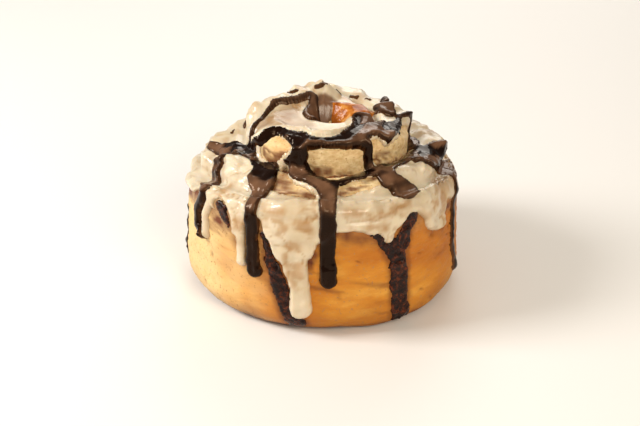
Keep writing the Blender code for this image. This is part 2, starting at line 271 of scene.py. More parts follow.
def bumped(tree, shader, heights, strength, distance):
    """Chains one bump per height socket, the coarsest first, into the shader's normal."""
    last = None
    for height, amount, reach in zip(heights, strength, distance):
        bump = tree.nodes.new("ShaderNodeBump")
        bump.inputs["Strength"].default_value = amount
        bump.inputs["Distance"].default_value = reach
        tree.links.new(height, bump.inputs["Height"])
        if last:
            tree.links.new(last.outputs["Normal"], bump.inputs["Normal"])
        last = bump
    tree.links.new(last.outputs["Normal"], shader.inputs["Normal"])


def grainy_finish(name, scale, detail, roughness, stops, values, strength, distance):
    """A whole finish with one noise for both its colour and its relief."""
    material, tree, shader, place = new_finish(name)
    grain = noise_node(tree, place, scale, detail, roughness)
    colour = ramp_node(tree, grain.outputs["Fac"], stops)
    tree.links.new(colour.outputs["Color"], shader.inputs["Base Color"])
    set_values(shader, values)
    bumped(tree, shader, [grain.outputs["Fac"]], [strength], [distance])
    return material


# %% [markdown]
# The crust is golden where it touched the heat, and its left side, which faces the window lamp, is
# painted paler as painted light. The inside of the strip, which shows on top, is a beige crumb
# stained by cinnamon along its edges.

# %% Finish of the dough


def dough_finish():
    material, tree, shader, place = new_finish("golden_crust")
    broad = noise_node(tree, place, 26.0, 5.0, 0.6, (1.0, 1.0, 2.2))
    fine = noise_node(tree, place, 420.0, 4.0, 0.65, (1.0, 1.0, 1.6))
    crumb = noise_node(tree, place, 900.0, 3.0, 0.6)
    golden = ramp_node(tree, broad.outputs["Fac"], [
        (0.30, (0.36, 0.098, 0.004)), (0.45, (0.50, 0.168, 0.009)),
        (0.58, (0.61, 0.245, 0.020)), (0.74, (0.75, 0.40, 0.070)),
    ])
    soft = ramp_node(tree, fine.outputs["Fac"], [(0.35, (0.62, 0.42, 0.19)), (0.65, (0.84, 0.66, 0.38))])
    streak = noise_node(tree, place, 90.0, 5.0, 0.65, (1.0, 1.0, 3.5))
    streaks = ramp_node(tree, streak.outputs["Fac"], [(0.42, (0.0, 0.0, 0.0)), (0.62, (0.45, 0.45, 0.45))])
    crusty = mixed(tree, streaks.outputs["Color"], golden.outputs["Color"], (0.50, 0.165, 0.012))
    # painted light: the crust on the left side is mixed toward a pale colour, standing in for the window
    # lamp's light
    crusty = mixed(tree, carried(tree, "painted_left_light"), crusty, (0.78, 0.54, 0.24))
    colour = mixed(tree, carried(tree, "crust"), soft.outputs["Color"], crusty)
    specks = ramp_node(tree, crumb.outputs["Fac"], [(0.30, (0.0, 0.0, 0.0)), (0.40, (1.0, 1.0, 1.0))])
    colour = mixed(tree, specks.outputs["Color"], (0.42, 0.20, 0.06), colour)
    # real stains and the painted shade in the pits share this dark brown
    colour = mixed(tree, carried(tree, "stain_and_shade"), colour, (0.13, 0.028, 0.004))
    tree.links.new(colour, shader.inputs["Base Color"])
    set_values(shader, {
        "Roughness": 0.50, "Specular IOR Level": 0.28, "Subsurface Weight": 0.15,
        "Subsurface Radius": (1.0, 0.45, 0.15), "Subsurface Scale": 0.0012,
    })
    heights = [noise.outputs["Fac"] for noise in (broad, fine, crumb)]
    bumped(tree, shader, heights, [0.45, 0.45, 0.3], [0.002, 0.0006, 0.0003])
    return material


baked_dough = dough_finish()
print(baked_dough.name, "is made of", len(baked_dough.node_tree.nodes), "nodes")

# %% [markdown]
# ## The rolled dough
# The strip is drawn as a row of outlines along its spiral. Each outline is a cross-section of the
# strip, with corners rounded by cutting them twice, and the outlines are joined into one skin. A
# curve with a bevel could not do this, because the section changes all the way along.

# %% The outline of the strip


def section(turn):
    """The outline of the strip across one place, as (radius, height) from its foot outward and over."""
    outside = outer_radius(turn)
    inside = inner_radius(turn)
    width = outside - inside
    top = between(TOP_HEIGHT, turn)
    tilt = between(TOP_TILT, turn) / 2
    first = float(ease((1.03 - turn) / 0.12))
    softer = between(FOOT_ROUNDING, turned(azimuth_of(turn)))
    foot = INNER_ROUNDING + (softer - INNER_ROUNDING) * first
    foot = min(foot, 0.95 * width) if turn > 0.3 else min(foot, 0.8 * width)
    inner_foot = min(INNER_ROUNDING, 0.15 * width)
    shoulder = 3.2 + 1.8 * first
    low = top - tilt - shoulder
    brim = outside - WALL_TAPER * first
    across = min(shoulder, 0.42 * width)
    inner_across = min(2.4, 0.3 * width)
    arc = [math.radians(30), math.radians(60)]
    points = [(inside + inner_foot, 0.0), (outside - foot, 0.0)]
    points += [(outside - foot + foot * math.sin(a), foot - foot * math.cos(a)) for a in arc]
    points += [(outside, foot), (outside - 0.3 * first, (foot + low) / 2), (brim, low)]
    points += [(brim - across * (1 - math.cos(a)), low + shoulder * math.sin(a)) for a in arc]
    points += [
        (brim - across, top - tilt * 0.5), ((outside + inside) / 2, top + 0.3),
        (inside + inner_across, top + tilt * 0.7), (inside + 0.3 * inner_across, top + tilt - 0.9),
        (inside, top + tilt - 2.6), (inside, inner_foot),
    ]
    return np.array(points)


def cut_corners(outline):
    """Puts two points on every side of a closed outline in place of its corners."""
    following = np.roll(outline, -1, axis=0)
    pairs = [outline * 0.75 + following * 0.25, outline * 0.25 + following * 0.75]
    return np.stack(pairs, axis=1).reshape(-1, 2)


print("one outline has", len(section(0.6)), "corners before it is rounded")

# %% [markdown]
# The outlines are set around the axis, closer together on the outer wall than on the inner turns,
# and neighbours are joined by squares. Each long side of an outline is split first, so that the
# skin has points enough to carry wrinkles. The loose end is pinched, as if pressed down by hand.

# %% Wind the strip
WALL_TURNS = 1.1
WALL_SECTIONS, INNER_SECTIONS = 230, 125
SIDE_SPLITS = [3, 1, 1, 1, 10, 14, 2, 2, 2, 4, 3, 2, 2, 8, 1]


def fine_outline(turn, pinch=1.0):
    """The section with its long sides split and its corners cut, always with as many points."""
    outline = section(turn)
    if pinch < 1.0:
        middle = (outline[:, 0].min() + outline[:, 0].max()) / 2
        outline[:, 0] = middle + (outline[:, 0] - middle) * pinch
        outline[:, 1] = np.minimum(outline[:, 1], outline[:, 1].max() - (1 - pinch) * 4)
    points = []
    for here, after, pieces in zip(outline, np.roll(outline, -1, axis=0), SIDE_SPLITS):
        points += [here + (after - here) * k / pieces for k in range(pieces)]
    return cut_corners(np.array(points))


def tube_faces(rows, around):
    """Squares that join rows of points around a tube, and one face at each end."""
    i, j = np.meshgrid(np.arange(rows - 1), np.arange(around), indexing="ij")
    k = (j + 1) % around
    squares = [i * around + j, i * around + k, (i + 1) * around + k, (i + 1) * around + j]
    faces = np.stack(squares, -1).reshape(-1, 4).tolist()
    faces.append(list(range(around)))
    faces.append([(rows - 1) * around + n for n in reversed(range(around))])
    return faces


def wind_strip():
    turns = [0.0] + [i / WALL_SECTIONS for i in range(int(WALL_TURNS * WALL_SECTIONS))]
    inner_count = int(round((TURNS - WALL_TURNS) * INNER_SECTIONS)) + 1
    turns += [WALL_TURNS + i / INNER_SECTIONS for i in range(inner_count)]
    outlines = [fine_outline(t, 0.5 if k == 0 else 1.0) for k, t in enumerate(turns)]
    angles = np.radians([azimuth_of(t) for t in turns])
    angles[0] += math.radians(2.0)
    rings = np.stack([
        np.column_stack([outline[:, 0] * math.cos(a), outline[:, 0] * math.sin(a), outline[:, 1]])
        for outline, a in zip(outlines, angles)
    ])
    return rings, np.array(turns), tube_faces(*rings.shape[:2])


rings, ring_turns, strip_faces = wind_strip()
print("the strip has", rings.shape[0], "outlines of", rings.shape[1], "points")

# %% [markdown]
# The skin is then roughened along its normals: soft wrinkles, furrows and small pits on the wall,
# and open crumb where the dough is bare on top. A displace modifier could do this too, but only
# from one texture, while here each part of the roll gets its own. The same places also say how
# crusty and how stained the dough is, with painted shade darkening the pits, and how much paler
# its left side is painted as painted light, which the finish reads.

# %% Roughen and colour the dough
PIT_DEPTH = 8.0


def normals_of(grid):
    """Outward directions of a grid of points that closes on itself across its second axis."""
    along = np.gradient(grid, axis=0)
    across = np.roll(grid, -1, axis=1) - np.roll(grid, 1, axis=1)
    facing = np.cross(across, along)
    return facing / np.maximum(np.linalg.norm(facing, axis=2, keepdims=True), 1e-9)


def dough_relief(points, turns):
    """How far each point of the dough moves out, how crusty it is, and how stained it is, with painted
    shade in its pits.
    """
    x, y, z = points[..., 0], points[..., 1], points[..., 2]
    radius = np.hypot(x, y)
    outside = np.array([outer_radius(t) for t in turns])[:, None]
    top = np.array([between(TOP_HEIGHT, t) for t in turns])[:, None]
    round_foot = 12.5 * ease((15.0 - z) / 4.0)
    on_wall = ease((radius - outside + 2.2 + round_foot) / 1.6) * ease((1.05 - turns[:, None]) / 0.06)
    on_wall = on_wall * ease((top - z) / 2.0)
    on_top = ease((z - top + 7.0) / 5.0)
    flat = points * np.array([0.55, 0.55, 1.6])
    slanted = flat + np.stack([0 * z, 0 * z, 0.35 * (x - 0.5 * y)], -1)
    furrows = -0.50 * ease(1.0 - np.abs(crags(slanted * np.array([0.6, 0.6, 1.3]), 8.0, 3, 6)) / 0.12)
    wrinkles = 0.38 * crags(flat, 7.0, 3, 1) + 0.20 * crags(slanted * np.array([1, 1, 2.0]), 3.0, 3, 2)
    wrinkles = wrinkles + furrows * 0.7
    pits = -0.7 * ease((lattice_noise(points, 1.5, 5) - 0.74) / 0.16)
    torn = 0.55 * crags(points, 4.2, 4, 3) - 0.25 * np.abs(lattice_noise(points, 1.5, 9))
    move = on_wall * (wrinkles + pits) + (1 - on_wall) * on_top * torn
    move = move * ease(z / 2.5)
    crust = np.clip(on_wall + 0.25 * lattice_noise(points, 6.0, 11) * (1 - on_wall), 0.0, 1.0)
    browned = 0.85 * ease((4.4 + 2.2 * lattice_noise(points, 5.0, 13) - z) / 4.0)
    toasted = 0.32 * ease((13.0 + 4.0 * lattice_noise(points, 9.0, 23) - z) / 10.0)
    browned = on_wall * np.maximum(browned, toasted)
    marks = 0.55 * ease((crags(slanted * np.array([0.5, 0.5, 1.4]), 6.0, 4, 14) - 0.45) / 0.5) * on_wall
    # painted shade: the pits of the crust are darkened through the same value as the browned foot and the
    # marks
    browning_and_pit_shade = np.maximum(np.maximum(browned, marks), on_wall * np.clip(-0.8 * pits, 0, 0.7))
    inside = outside - np.array([between(STRIP_THICKNESS, t) for t in turns])[:, None]
    spread = 0.9 * ease((inside + 1.6 + 0.8 * lattice_noise(points, 3.0, 15) - radius) / 1.2) * on_top
    return move, crust, np.clip(np.maximum(browning_and_pit_shade, spread), 0.0, 1.0)


def eye_distance(points, aside=(0.0, 0.0)):
    """How far the points lie from the axis of the eye, or from a line a little aside of it."""
    return np.hypot(
        points[..., 0] - EYE_CENTRE[0] - aside[0], points[..., 1] - EYE_CENTRE[1] - aside[1]
    )


facing = normals_of(rings)
if np.sum(facing * (rings - rings.mean(axis=1, keepdims=True))) < 0:
    facing = -facing
move, crust, stain_and_shade = dough_relief(rings, ring_turns)
dough_points = rings + facing * move[..., None]
side = np.degrees(np.arctan2(rings[..., 1], rings[..., 0]))
# painted light: the left side, facing the window lamp, is painted paler
off_left = np.abs(turned(side - 170.0)) - 90.0 + 14.0 * crags(rings, 12.0, 3, 19)
painted_left_light = 0.9 * ease(off_left / -50.0)
from_eye = eye_distance(dough_points) + 0.5 * lattice_noise(dough_points, 3.0, 17)
near_top = ease((dough_points[..., 2] - 44.0) / 8.0)
dough_points[..., 2] -= PIT_DEPTH * ease(1.5 * (1 - from_eye / EYE_RADIUS)) * near_top
dough_points[..., 2] = np.maximum(dough_points[..., 2], 0.0)
dough_points[rings[..., 2] < 0.05, 2] = 0.0
dough_roll = make_piece(
    "rolled_dough", dough_points.reshape(-1, 3), strip_faces, baked_dough, "dough_roll",
    {"crust": crust.reshape(-1), "stain_and_shade": stain_and_shade.reshape(-1), "painted_left_light": painted_left_light.reshape(-1)},
)

# %% [markdown]
# ## The cinnamon filling
# Between each wrap and the next lies a paste of cinnamon and brown sugar. It is a thin grainy
# sheet whose top edge shows as a dark line along the spiral. It is wound like the strip, from
# outlines of its own that stop just below the dough on both sides of them.

# %% Filling
SHEET_HALF = 0.85
PASTE_COLOURS = [
    (0.35, (0.075, 0.022, 0.007)), (0.52, (0.20, 0.070, 0.020)), (0.68, (0.36, 0.15, 0.045)),
]
cinnamon = grainy_finish(
    "cinnamon_paste", 700.0, 4.0, 0.7, PASTE_COLOURS, {"Roughness": 0.42}, 0.6, 0.0005,
)
sheet_turns = [t for t in ring_turns[1:] if 0.03 <= t <= TURNS - 1.0]
sheet_rings = []
for turn in sheet_turns:
    middle = inner_radius(turn) - WRAP_GAP / 2
    inner_edge = between(TOP_HEIGHT, turn) + between(TOP_TILT, turn) / 2 - 2.6
    next_edge = between(TOP_HEIGHT, turn + 1) - between(TOP_TILT, turn + 1) / 2 - 3.2
    top = min(inner_edge, next_edge) + 1.2
    heights = np.concatenate([np.linspace(1.0, top - 6, 5), np.linspace(top - 5, top - 0.4, 8)])
    outline = [(middle - SHEET_HALF, h) for h in heights] + [(middle - 0.3, top), (middle + 0.3, top)]
    outline += [(middle + SHEET_HALF, h) for h in heights[::-1]]
    a = math.radians(azimuth_of(turn))
    sheet_rings.append([(r * math.cos(a), r * math.sin(a), z) for r, z in outline])
sheet_rings = np.array(sheet_rings)
grain_height = 0.7 * crags(sheet_rings, 2.2, 3, 21) * (sheet_rings[..., 2] > 30)
sheet_points = sheet_rings + np.array([0, 0, 1.0]) * grain_height[..., None]
cinnamon_filling = make_piece(
    "filling_sheet", sheet_points.reshape(-1, 3), tube_faces(*sheet_rings.shape[:2]), cinnamon,
    "cinnamon_filling",
)

# %% [markdown]
# ## Flows on a globe
# Icing and sauce are skins poured over the roll. They are drawn on an imaginary globe around a
# point inside it: every place has a longitude and a latitude, and a ray from outside finds how far
# out the dough lies there. A flow is a list of places with the half-width of the flow at each, and
# a skin is cut along the line where its depth inside the flow is zero. A modelled plane would tear
# on the steps of the spiral, while this skin follows them. Longitude is the azimuth, so -90 is the
# front, and the steps of the spiral are softened a little, as thick icing bridges them.

# %% The globe
GLOBE_HEIGHT = 20.0
CENTRE = np.array([0.0, 0.0, GLOBE_HEIGHT])
FAR, NEAR = 120.0, 30.0
STEP = 0.8
LOWEST, HIGHEST = -20.0, 88.0
TOP_LATITUDE = 66.0
longitudes = np.arange(-180.0, 180.0, STEP)
latitudes = np.arange(LOWEST, HIGHEST + 0.01, STEP)
LONGITUDE, LATITUDE = np.meshgrid(longitudes, latitudes, indexing="ij")


def on_globe(longitude, latitude, reach):
    a, b = np.radians(longitude), np.radians(latitude)
    across = reach * np.cos(b)
    return np.stack([across * np.cos(a), across * np.sin(a), GLOBE_HEIGHT + reach * np.sin(b)], -1)


def tree_of(*pieces):
    corners, faces = [], []
    for piece in pieces:
        start = len(corners)
        corners += [v.co.copy() for v in piece.data.vertices]
        faces += [[start + n for n in p.vertices] for p in piece.data.polygons]
    return BVHTree.FromPolygons(corners, faces)


def reach_of(tree):
    """How far from the globe's centre the outside lies, at every place of the globe."""
    directions = on_globe(LONGITUDE, LATITUDE, 1.0) - CENTRE
    starts = (directions * FAR + CENTRE + CENTRING) * MM
    reach = np.empty(LONGITUDE.shape)
    for i in range(reach.shape[0]):
        for j in range(reach.shape[1]):
            hit = tree.ray_cast(Vector(starts[i, j]), Vector(-directions[i, j]))[3]
            reach[i, j] = FAR - (hit / MM if hit is not None else FAR)
    return np.maximum(reach, NEAR)


def blurred(grid, times=1):
    for _ in range(times):
        wide = np.pad(grid, ((1, 1), (0, 0)), mode="wrap")
        grid = (wide[:-2] + 2 * wide[1:-1] + wide[2:]) / 4
        tall = np.pad(grid, ((0, 0), (1, 1)), mode="edge")
        grid = (tall[:, :-2] + 2 * tall[:, 1:-1] + tall[:, 2:]) / 4
    return grid


dough_reach = reach_of(tree_of(dough_roll, cinnamon_filling))
steepness = np.sin(np.radians(np.maximum(LATITUDE, 60.0)))
level = on_globe(LONGITUDE, LATITUDE, 40.0 / steepness)
well = 41.2 + 0.06 * level[..., 1] - 0.05 * level[..., 0]
well -= 8.5 * ease(1.5 * (1 - eye_distance(level) / 8.0))
well = np.where(LATITUDE > TOP_LATITUDE, well / steepness, 0.0)
soft_reach = np.maximum(dough_reach, blurred(dough_reach, 5))
filled_eye = blurred(np.maximum(well, dough_reach), 3) * (LATITUDE > TOP_LATITUDE - 2.0)
soft_reach = np.maximum(soft_reach, filled_eye)
print("the dough lies", round(float(dough_reach.min()), 1), "to", round(float(dough_reach.max()), 1),
      "mm from the globe's middle")

# %% [markdown]
# The depth of a place inside a flow is the half-width there less the distance to the middle line
# of the flow. A pool is drawn by its outline instead, and its depth is the distance to that. A
# little noise is added to the place first, so that no edge runs dead straight.

# %% Depth inside a flow or a pool
PLACES = on_globe(LONGITUDE, LATITUDE, soft_reach)


def directions_of(points, wander, seed):
    """Directions from the globe's middle to the points, once each has strayed by up to the given length."""
    strayed = points + np.stack([crags(points, 4.5, 3, seed + k) for k in range(3)], -1) * wander
    away = strayed - CENTRE
    return away / np.linalg.norm(away, axis=-1, keepdims=True)


DIRECTIONS = directions_of(PLACES, 0.40, 40)


def reach_at(longitude, latitude):
    i = int(round((longitude + 180.0) / STEP)) % len(longitudes)
    j = int(np.clip(round((latitude - LOWEST) / STEP), 0, len(latitudes) - 1))
    return soft_reach[i, j]


def flow_steps(flow):
    """Closely spaced places along a flow, as (direction, reach, half-width)."""
    steps = []
    for (lo0, la0, w0), (lo1, la1, w1) in zip(flow, flow[1:]):
        turn = turned(lo1 - lo0)
        pieces = max(3, int(math.hypot(turn * math.cos(math.radians(la0)), la1 - la0) / 1.2))
        for k in range(pieces + 1):
            e = k / pieces
            lo, la = lo0 + turn * e, la0 + (la1 - la0) * e
            steps.append((on_globe(lo, la, 1.0) - CENTRE, reach_at(lo, la), w0 + (w1 - w0) * e))
    return steps


def flow_depth(flow, directions=None):
    """How deep every place lies inside one flow, and how far along it, from 0 to 1."""
    directions = DIRECTIONS if directions is None else directions
    depth = np.full(directions.shape[:-1], -100.0)
    share = np.zeros(directions.shape[:-1])
    steps = flow_steps(flow)
    for n, (centre, reach, width) in enumerate(steps):
        here = width - reach * np.linalg.norm(directions - centre, axis=-1)
        share = np.where(here > depth, n / (len(steps) - 1), share)
        depth = np.maximum(depth, here)
    return depth, share


def depth_in(flows, directions=None):
    """How deep every place lies inside the deepest of several flows."""
    return np.max([flow_depth(flow, directions)[0] for flow in flows], axis=0)


def tips_of(flows, start):
    """From 0 to 1 toward the lower ends of flows, where a drip swells."""
    tips = np.zeros(LONGITUDE.shape)
    for flow in flows:
        depth, share = flow_depth(flow)
        tips = np.maximum(tips, ease(depth / 1.5) * ease((share - start) / (1.0 - start)))
    return tips


def rounded_outline(outline):
    """More places along a closed outline, on a curve through the given ones."""
    base = outline[0][0]
    places = np.array([(turned(lo - base), la) for lo, la in outline])
    curve = []
    for k in range(len(places)):
        p0, p1, p2, p3 = (places[(k + n - 1) % len(places)] for n in range(4))
        for e in (0.0, 0.25, 0.5, 0.75):
            place = p1 + 0.5 * e * (p2 - p0) * (1 - e) ** 2 + (p2 - p1) * (3 - 2 * e) * e * e
            curve.append(place - 0.5 * (p3 - p1) * e * e * (1 - e))
    return [(base + lo, la) for lo, la in curve]


def pool_depth(outline):
    """How deep every place lies inside a closed outline; below 0 outside."""
    outline = rounded_outline(outline)
    away = -flow_depth([(lo, la, 0.0) for lo, la in outline + outline[:1]])[0]
    base = outline[0][0]
    longitude = turned(LONGITUDE - base)
    inside = np.zeros(LONGITUDE.shape, bool)
    for (lo0, la0), (lo1, la1) in zip(outline, outline[1:] + outline[:1]):
        lo0, lo1 = lo0 - base, lo1 - base
        if la0 != la1:
            crossing = lo0 + (LATITUDE - la0) / (la1 - la0) * (lo1 - lo0)
            inside ^= ((LATITUDE >= la0) != (LATITUDE >= la1)) & (longitude < crossing)
    wander = 0.35 * crags(PLACES, 3.0, 3, 44)
    return np.where(inside, away, -away) + wander


def together(depths, roundness=1.2):
    """The depth inside any of several shapes, with the corners where they meet filled a little."""
    depth = depths[0]
    for other in depths[1:]:
        fill = np.maximum(roundness - np.abs(depth - other), 0.0) ** 2 / (4 * roundness)
        depth = np.maximum(depth, other) + fill
    return depth


def bulges(places):
    """Soft mounds, each given by its longitude, latitude, radius and height in millimetres."""
    height = np.zeros(LONGITUDE.shape)
    for longitude, latitude, radius, rise in places:
        away = -flow_depth([(longitude, latitude, 0.0), (longitude, latitude, 0.0)])[0]
        height = np.maximum(height, rise * ease(1.5 * (1 - away / radius)))
    return height


# %% [markdown]
# A skin has an upper and a lower side with the same outline. Squares of the globe's grid are cut
# into triangles, and a triangle that the outline crosses keeps only its inner part, so the edge is
# smooth. The two sides are joined along the outline, which makes the skin one closed body. Its lower
# side is sunk a little into what it lies on, so that no gap shows.

# %% Cut a skin from the globe
SUNK_IN_DOUGH, SUNK_IN_ICING = 0.5, 0.4


def cut_skin(depth, lower, upper, values):
    """Corners and faces of the closed skin where depth is above 0, with its values at the corners."""
    columns, rows = depth.shape
    flat_depth = depth.reshape(-1)
    wet = flat_depth > 0
    longitude, latitude = LONGITUDE.reshape(-1), LATITUDE.reshape(-1)
    low, high = lower.reshape(-1), upper.reshape(-1)
    some = wet.reshape(columns, rows)
    around = some | np.roll(some, -1, 0)
    squares = np.argwhere(around[:, :-1] | around[:, 1:])
    number, cut = {}, {}
    blends = []
    faces = []

    def corner(v):
        if v not in number:
            number[v] = len(blends)
            blends.append((v, v, 0.0))
        return number[v]

    def crossing(a, b):
        key = (a, b) if a < b else (b, a)
        if key not in cut:
            a, b = key
            cut[key] = len(blends)
            share = flat_depth[a] / (flat_depth[a] - flat_depth[b])
            blends.append((a, b, min(0.97, max(0.03, share))))
        return cut[key]

    for i, j in squares.tolist():
        right = (i + 1) % columns
        a, b, c, d = i * rows + j, right * rows + j, right * rows + j + 1, i * rows + j + 1
        if wet[a] and wet[b] and wet[c] and wet[d]:
            faces.append([corner(a), corner(b), corner(c), corner(d)])
            continue
        for half in ((a, b, c), (a, c, d)) if (i + j) % 2 else ((a, b, d), (b, c, d)):
            outline = []
            for k in range(3):
                here, after = half[k], half[(k + 1) % 3]
                if wet[here]:
                    outline.append(corner(here))
                if wet[here] != wet[after]:
                    outline.append(crossing(here, after))
            if len(outline) > 2:
                faces.append(outline)
    first = np.array([f for f, s, e in blends])
    second = np.array([s for f, s, e in blends])
    share = np.array([e for f, s, e in blends])
    lo = longitude[first] + turned(longitude[second] - longitude[first]) * share
    la = latitude[first] + (latitude[second] - latitude[first]) * share

    def blend(grid):
        return grid[first] + (grid[second] - grid[first]) * share

    bottom = on_globe(lo, la, blend(low))
    top_reach = np.where(share > 0, blend(low) + (blend(high) - blend(low)) * 0.45, blend(high))
    top = on_globe(lo, la, top_reach)
    count = len(first)
    skin_faces = [[count + v for v in face] for face in faces] + [face[::-1] for face in faces]
    edges = set()
    for face in faces:
        edges.update(zip(face, face[1:] + face[:1]))
    skin_faces += [[a, b, count + b, count + a] for a, b in edges if (b, a) not in edges]
    carried_values = {}
    for key, grid in values.items():
        here = blend(grid.reshape(-1))
        carried_values[key] = np.concatenate([here, here])
    return np.concatenate([bottom, top]), skin_faces, carried_values


def lay_skin(name, depth, lower, upper, material, node, values=None):
    """Cuts a skin from the globe and makes it a piece."""
    corners, faces, carried_values = cut_skin(depth, lower, upper, values or {})
    make_piece(name, corners, faces, material, node, carried_values)


def rounded_height(depth, width):
    """A height from 0 at the edge to 1 at the given depth, as round as a drop's side."""
    share = np.clip(depth / width, 0.0, 1.0)
    return np.sqrt(np.maximum(1.0 - (1.0 - share) ** 2, 0.0))


# %% [markdown]
# ## The cream icing
# The icing covers the top and stops along a scalloped line a third of the way down the side, with
# drips running on from it. It leaves the sides and tops of some wraps and the eye of the spiral
# bare, and it is heaped in soft mounds at the back, where the peak and the shoulders are. The edge
# is a list of (longitude, latitude), a drip is a flow, a bare patch is an outline, and a mound is
# its place, radius and height. Two of the bare patches have names, because the dough is coloured
# there later: a golden piece of wrap, and one whose top is torn.

# %% Icing: where it runs
ICING_EDGE = [
    (-180, 17), (-168, 20), (-153.5, 25.8), (-148, 25.6), (-139.4, 22), (-133.4, 19.5), (-128, 16),
    (-121, 22.5), (-116, 25), (-112, 17.5), (-108, 10), (-94.5, 12), (-91.5, 18.5), (-84, 22.7),
    (-75, 22.3), (-67.8, 20.6), (-62, 16.5), (-58, 20.3), (-51, 24.5), (-47.9, 24), (-43, 20.8),
    (-37.5, 15.5), (-33.5, 13), (-28.2, 13.4), (-26, 21.5), (-15, 19), (5, 14), (30, 17), (55, 12),
    (80, 17), (105, 12), (135, 15), (160, 12), (180, 17),
]
ICING_DRIPS = [
    [(-144.7, 26, 1.8), (-146.9, 18.5, 1.7), (-146.6, 12, 2), (-146.6, 11, 2)],
    [(-125.7, 25, 3), (-125.1, 16, 2.2), (-124.6, 8, 2), (-124.5, 6.5, 2.3)],
    [(-104, 26, 9), (-102, 14, 5), (-99.5, 1, 3.5), (-98.9, -6, 3.7), (-98.8, -10.2, 4.1)],
    [(-62, 20, 2.4), (-62, 17.5, 1.6)], [(-36, 20, 6), (-31, 15, 3.4)],
    [(21, 16, 3), (22, 3, 2.2), (22, -4, 2.6)], [(62, 14, 3), (61, 6, 2.2), (61, -1, 2.4)],
    [(112, 14, 4.6), (110, 2, 2.8), (110, -6, 3)], [(152, 14, 3), (154, 6, 2), (154, 3, 2.2)],
]
BARE_PATCHES = [
    [(-99.8, 54.3), (-98.5, 51.3), (-91.9, 47.1), (-85.3, 44.4), (-77.2, 45), (-61.3, 47.5),
     (-58.2, 55), (-74.5, 56.5), (-99.2, 56.6)],
    [(-141.5, 54.8), (-137, 58.6), (-132.6, 62), (-126, 61), (-119.5, 60), (-112.2, 57),
     (-118.3, 54), (-127.3, 51), (-134, 51.2), (-141.6, 52)],
    [(-117.1, 41.3), (-118.6, 45.9), (-117.9, 49.8), (-113.3, 49.3), (-110.5, 44.9), (-105, 41.9),
     (-98.3, 40.1), (-94.7, 38.4), (-92.5, 36.7), (-94.5, 35.9), (-103.1, 36.4), (-115.5, 37.2)],
    [(-81.5, 41), (-66, 42.6), (-57.5, 42.6), (-57, 39), (-68, 38.2), (-81, 36.8)],
    [(-12.2, 54.8), (1.3, 52.1), (12, 44.5), (-0.7, 43.6), (-18.5, 44.9), (-33.8, 46.5),
     (-43, 47.4), (-50, 48.6), (-53.5, 52.6), (-54.5, 57), (-45, 57), (-42, 53.4), (-29.8, 52.9)],
    [(-140.6, 27), (-135, 26.8), (-131, 23.6), (-130, 20), (-131, 16.5), (-134, 17.6), (-138.8, 21),
     (-141.8, 24.6)],
]
GOLDEN_PATCH, TORN_PATCH = 1, 2
BARE_EYE = [(60, 79.5, 1.6), (30, 81.5, 2.6), (0, 83.5, 2.2)]
ICING_MOUNDS = [
    (142, 63, 10, 2.3), (128, 66, 8, 2.5), (114, 67, 8, 3.8), (101, 66, 10, 3.6), (89, 65, 9, 3.2),
    (79, 62, 7, 1.6), (62, 60, 8, 1.8), (46, 58, 7, 0.6), (25, 54, 7, 1.8), (14, 49, 7, 2.2),
    (30, 36, 10, 2.4), (14, 35, 9, 2.2), (4, 35, 8, 2.6), (168, 33, 10, 2.9), (160, 24, 9, 1.6),
    (178, 30, 8, 3.6), (-177, 24, 6, 2.2), (155, 39, 9, 0.6), (160, 56, 7, 2.4),
]
ICING_RIDGES = [
    [(-151, 54.6, 0.9), (-144.6, 58.6, 1), (-134.7, 66.4, 1.1), (-112, 68.5, 1.1), (-97.6, 63.8, 1),
     (-83.5, 64.4, 1), (-66, 67.4, 1), (-20, 76, 1)],
    [(-166, 37, 1), (-161, 41.4, 1.1), (-153, 43.4, 1.1), (-146, 42.4, 0.9)],
    [(-31, 44, 0.8), (-27, 41, 1), (-31, 37.6, 0.9)],
]
ICING_SAGS = [
    [(-114, 27.4, 0.6), (-106, 26.2, 0.8), (-97, 27.6, 0.6), (-92, 28.6, 0.4)],
    [(-80, 26.6, 0.4), (-68, 26, 0.7), (-56, 28.2, 0.6), (-46, 27, 0.4)],
    [(-38, 27, 0.5), (-30, 29.5, 0.8), (-22, 28, 0.5)],
    [(-12, 30, 0.5), (-8, 24, 0.8), (-10, 19, 0.5)],
    [(-144, 31, 0.5), (-136, 30, 0.7), (-129, 31.5, 0.4)],
]
# painted shade: shaded folds and streaks of the icing, listed as flows, are painted brown
ICING_SHADE_STREAKS = [
    [(-113, 26.4, 1), (-104, 25.4, 1.3), (-95, 26.8, 0.8)],
    [(-103, 20, 3.2), (-101.5, 10, 3.4), (-100, 2, 2.8)],
    [(-128, 21, 2.2), (-114, 24, 2.6), (-96, 22, 2.6)], [(10, 30, 3), (-6, 22, 2.4)],
    [(-143, 33, 2), (-134, 28, 1.8)], [(-80, 30, 1.6), (-66, 28, 1.8), (-52, 29, 1.4)],
    [(-78, 24, 1), (-64, 22, 1.2)], [(-40, 25, 1.6), (-30, 22, 1.8), (-24, 26, 1.4)],
    [(96, 72, 1.8), (70, 69, 1.6), (44, 66, 1.6)],
    [(-118, 30, 1.4), (-108, 29, 1.6), (-98, 31, 1.2)],
]

print(len(ICING_DRIPS), "drips of icing and", len(ICING_MOUNDS), "mounds")

# %% [markdown]
# The height of the icing is built up in turn: a rounded rim all along its edge, soft ripples, a
# swelling at the tips of the drips, the mounds, the sharp folds between sauce and icing, and then
# creases and sags cut back into it. It lies thinner on the right side, as in the photograph.

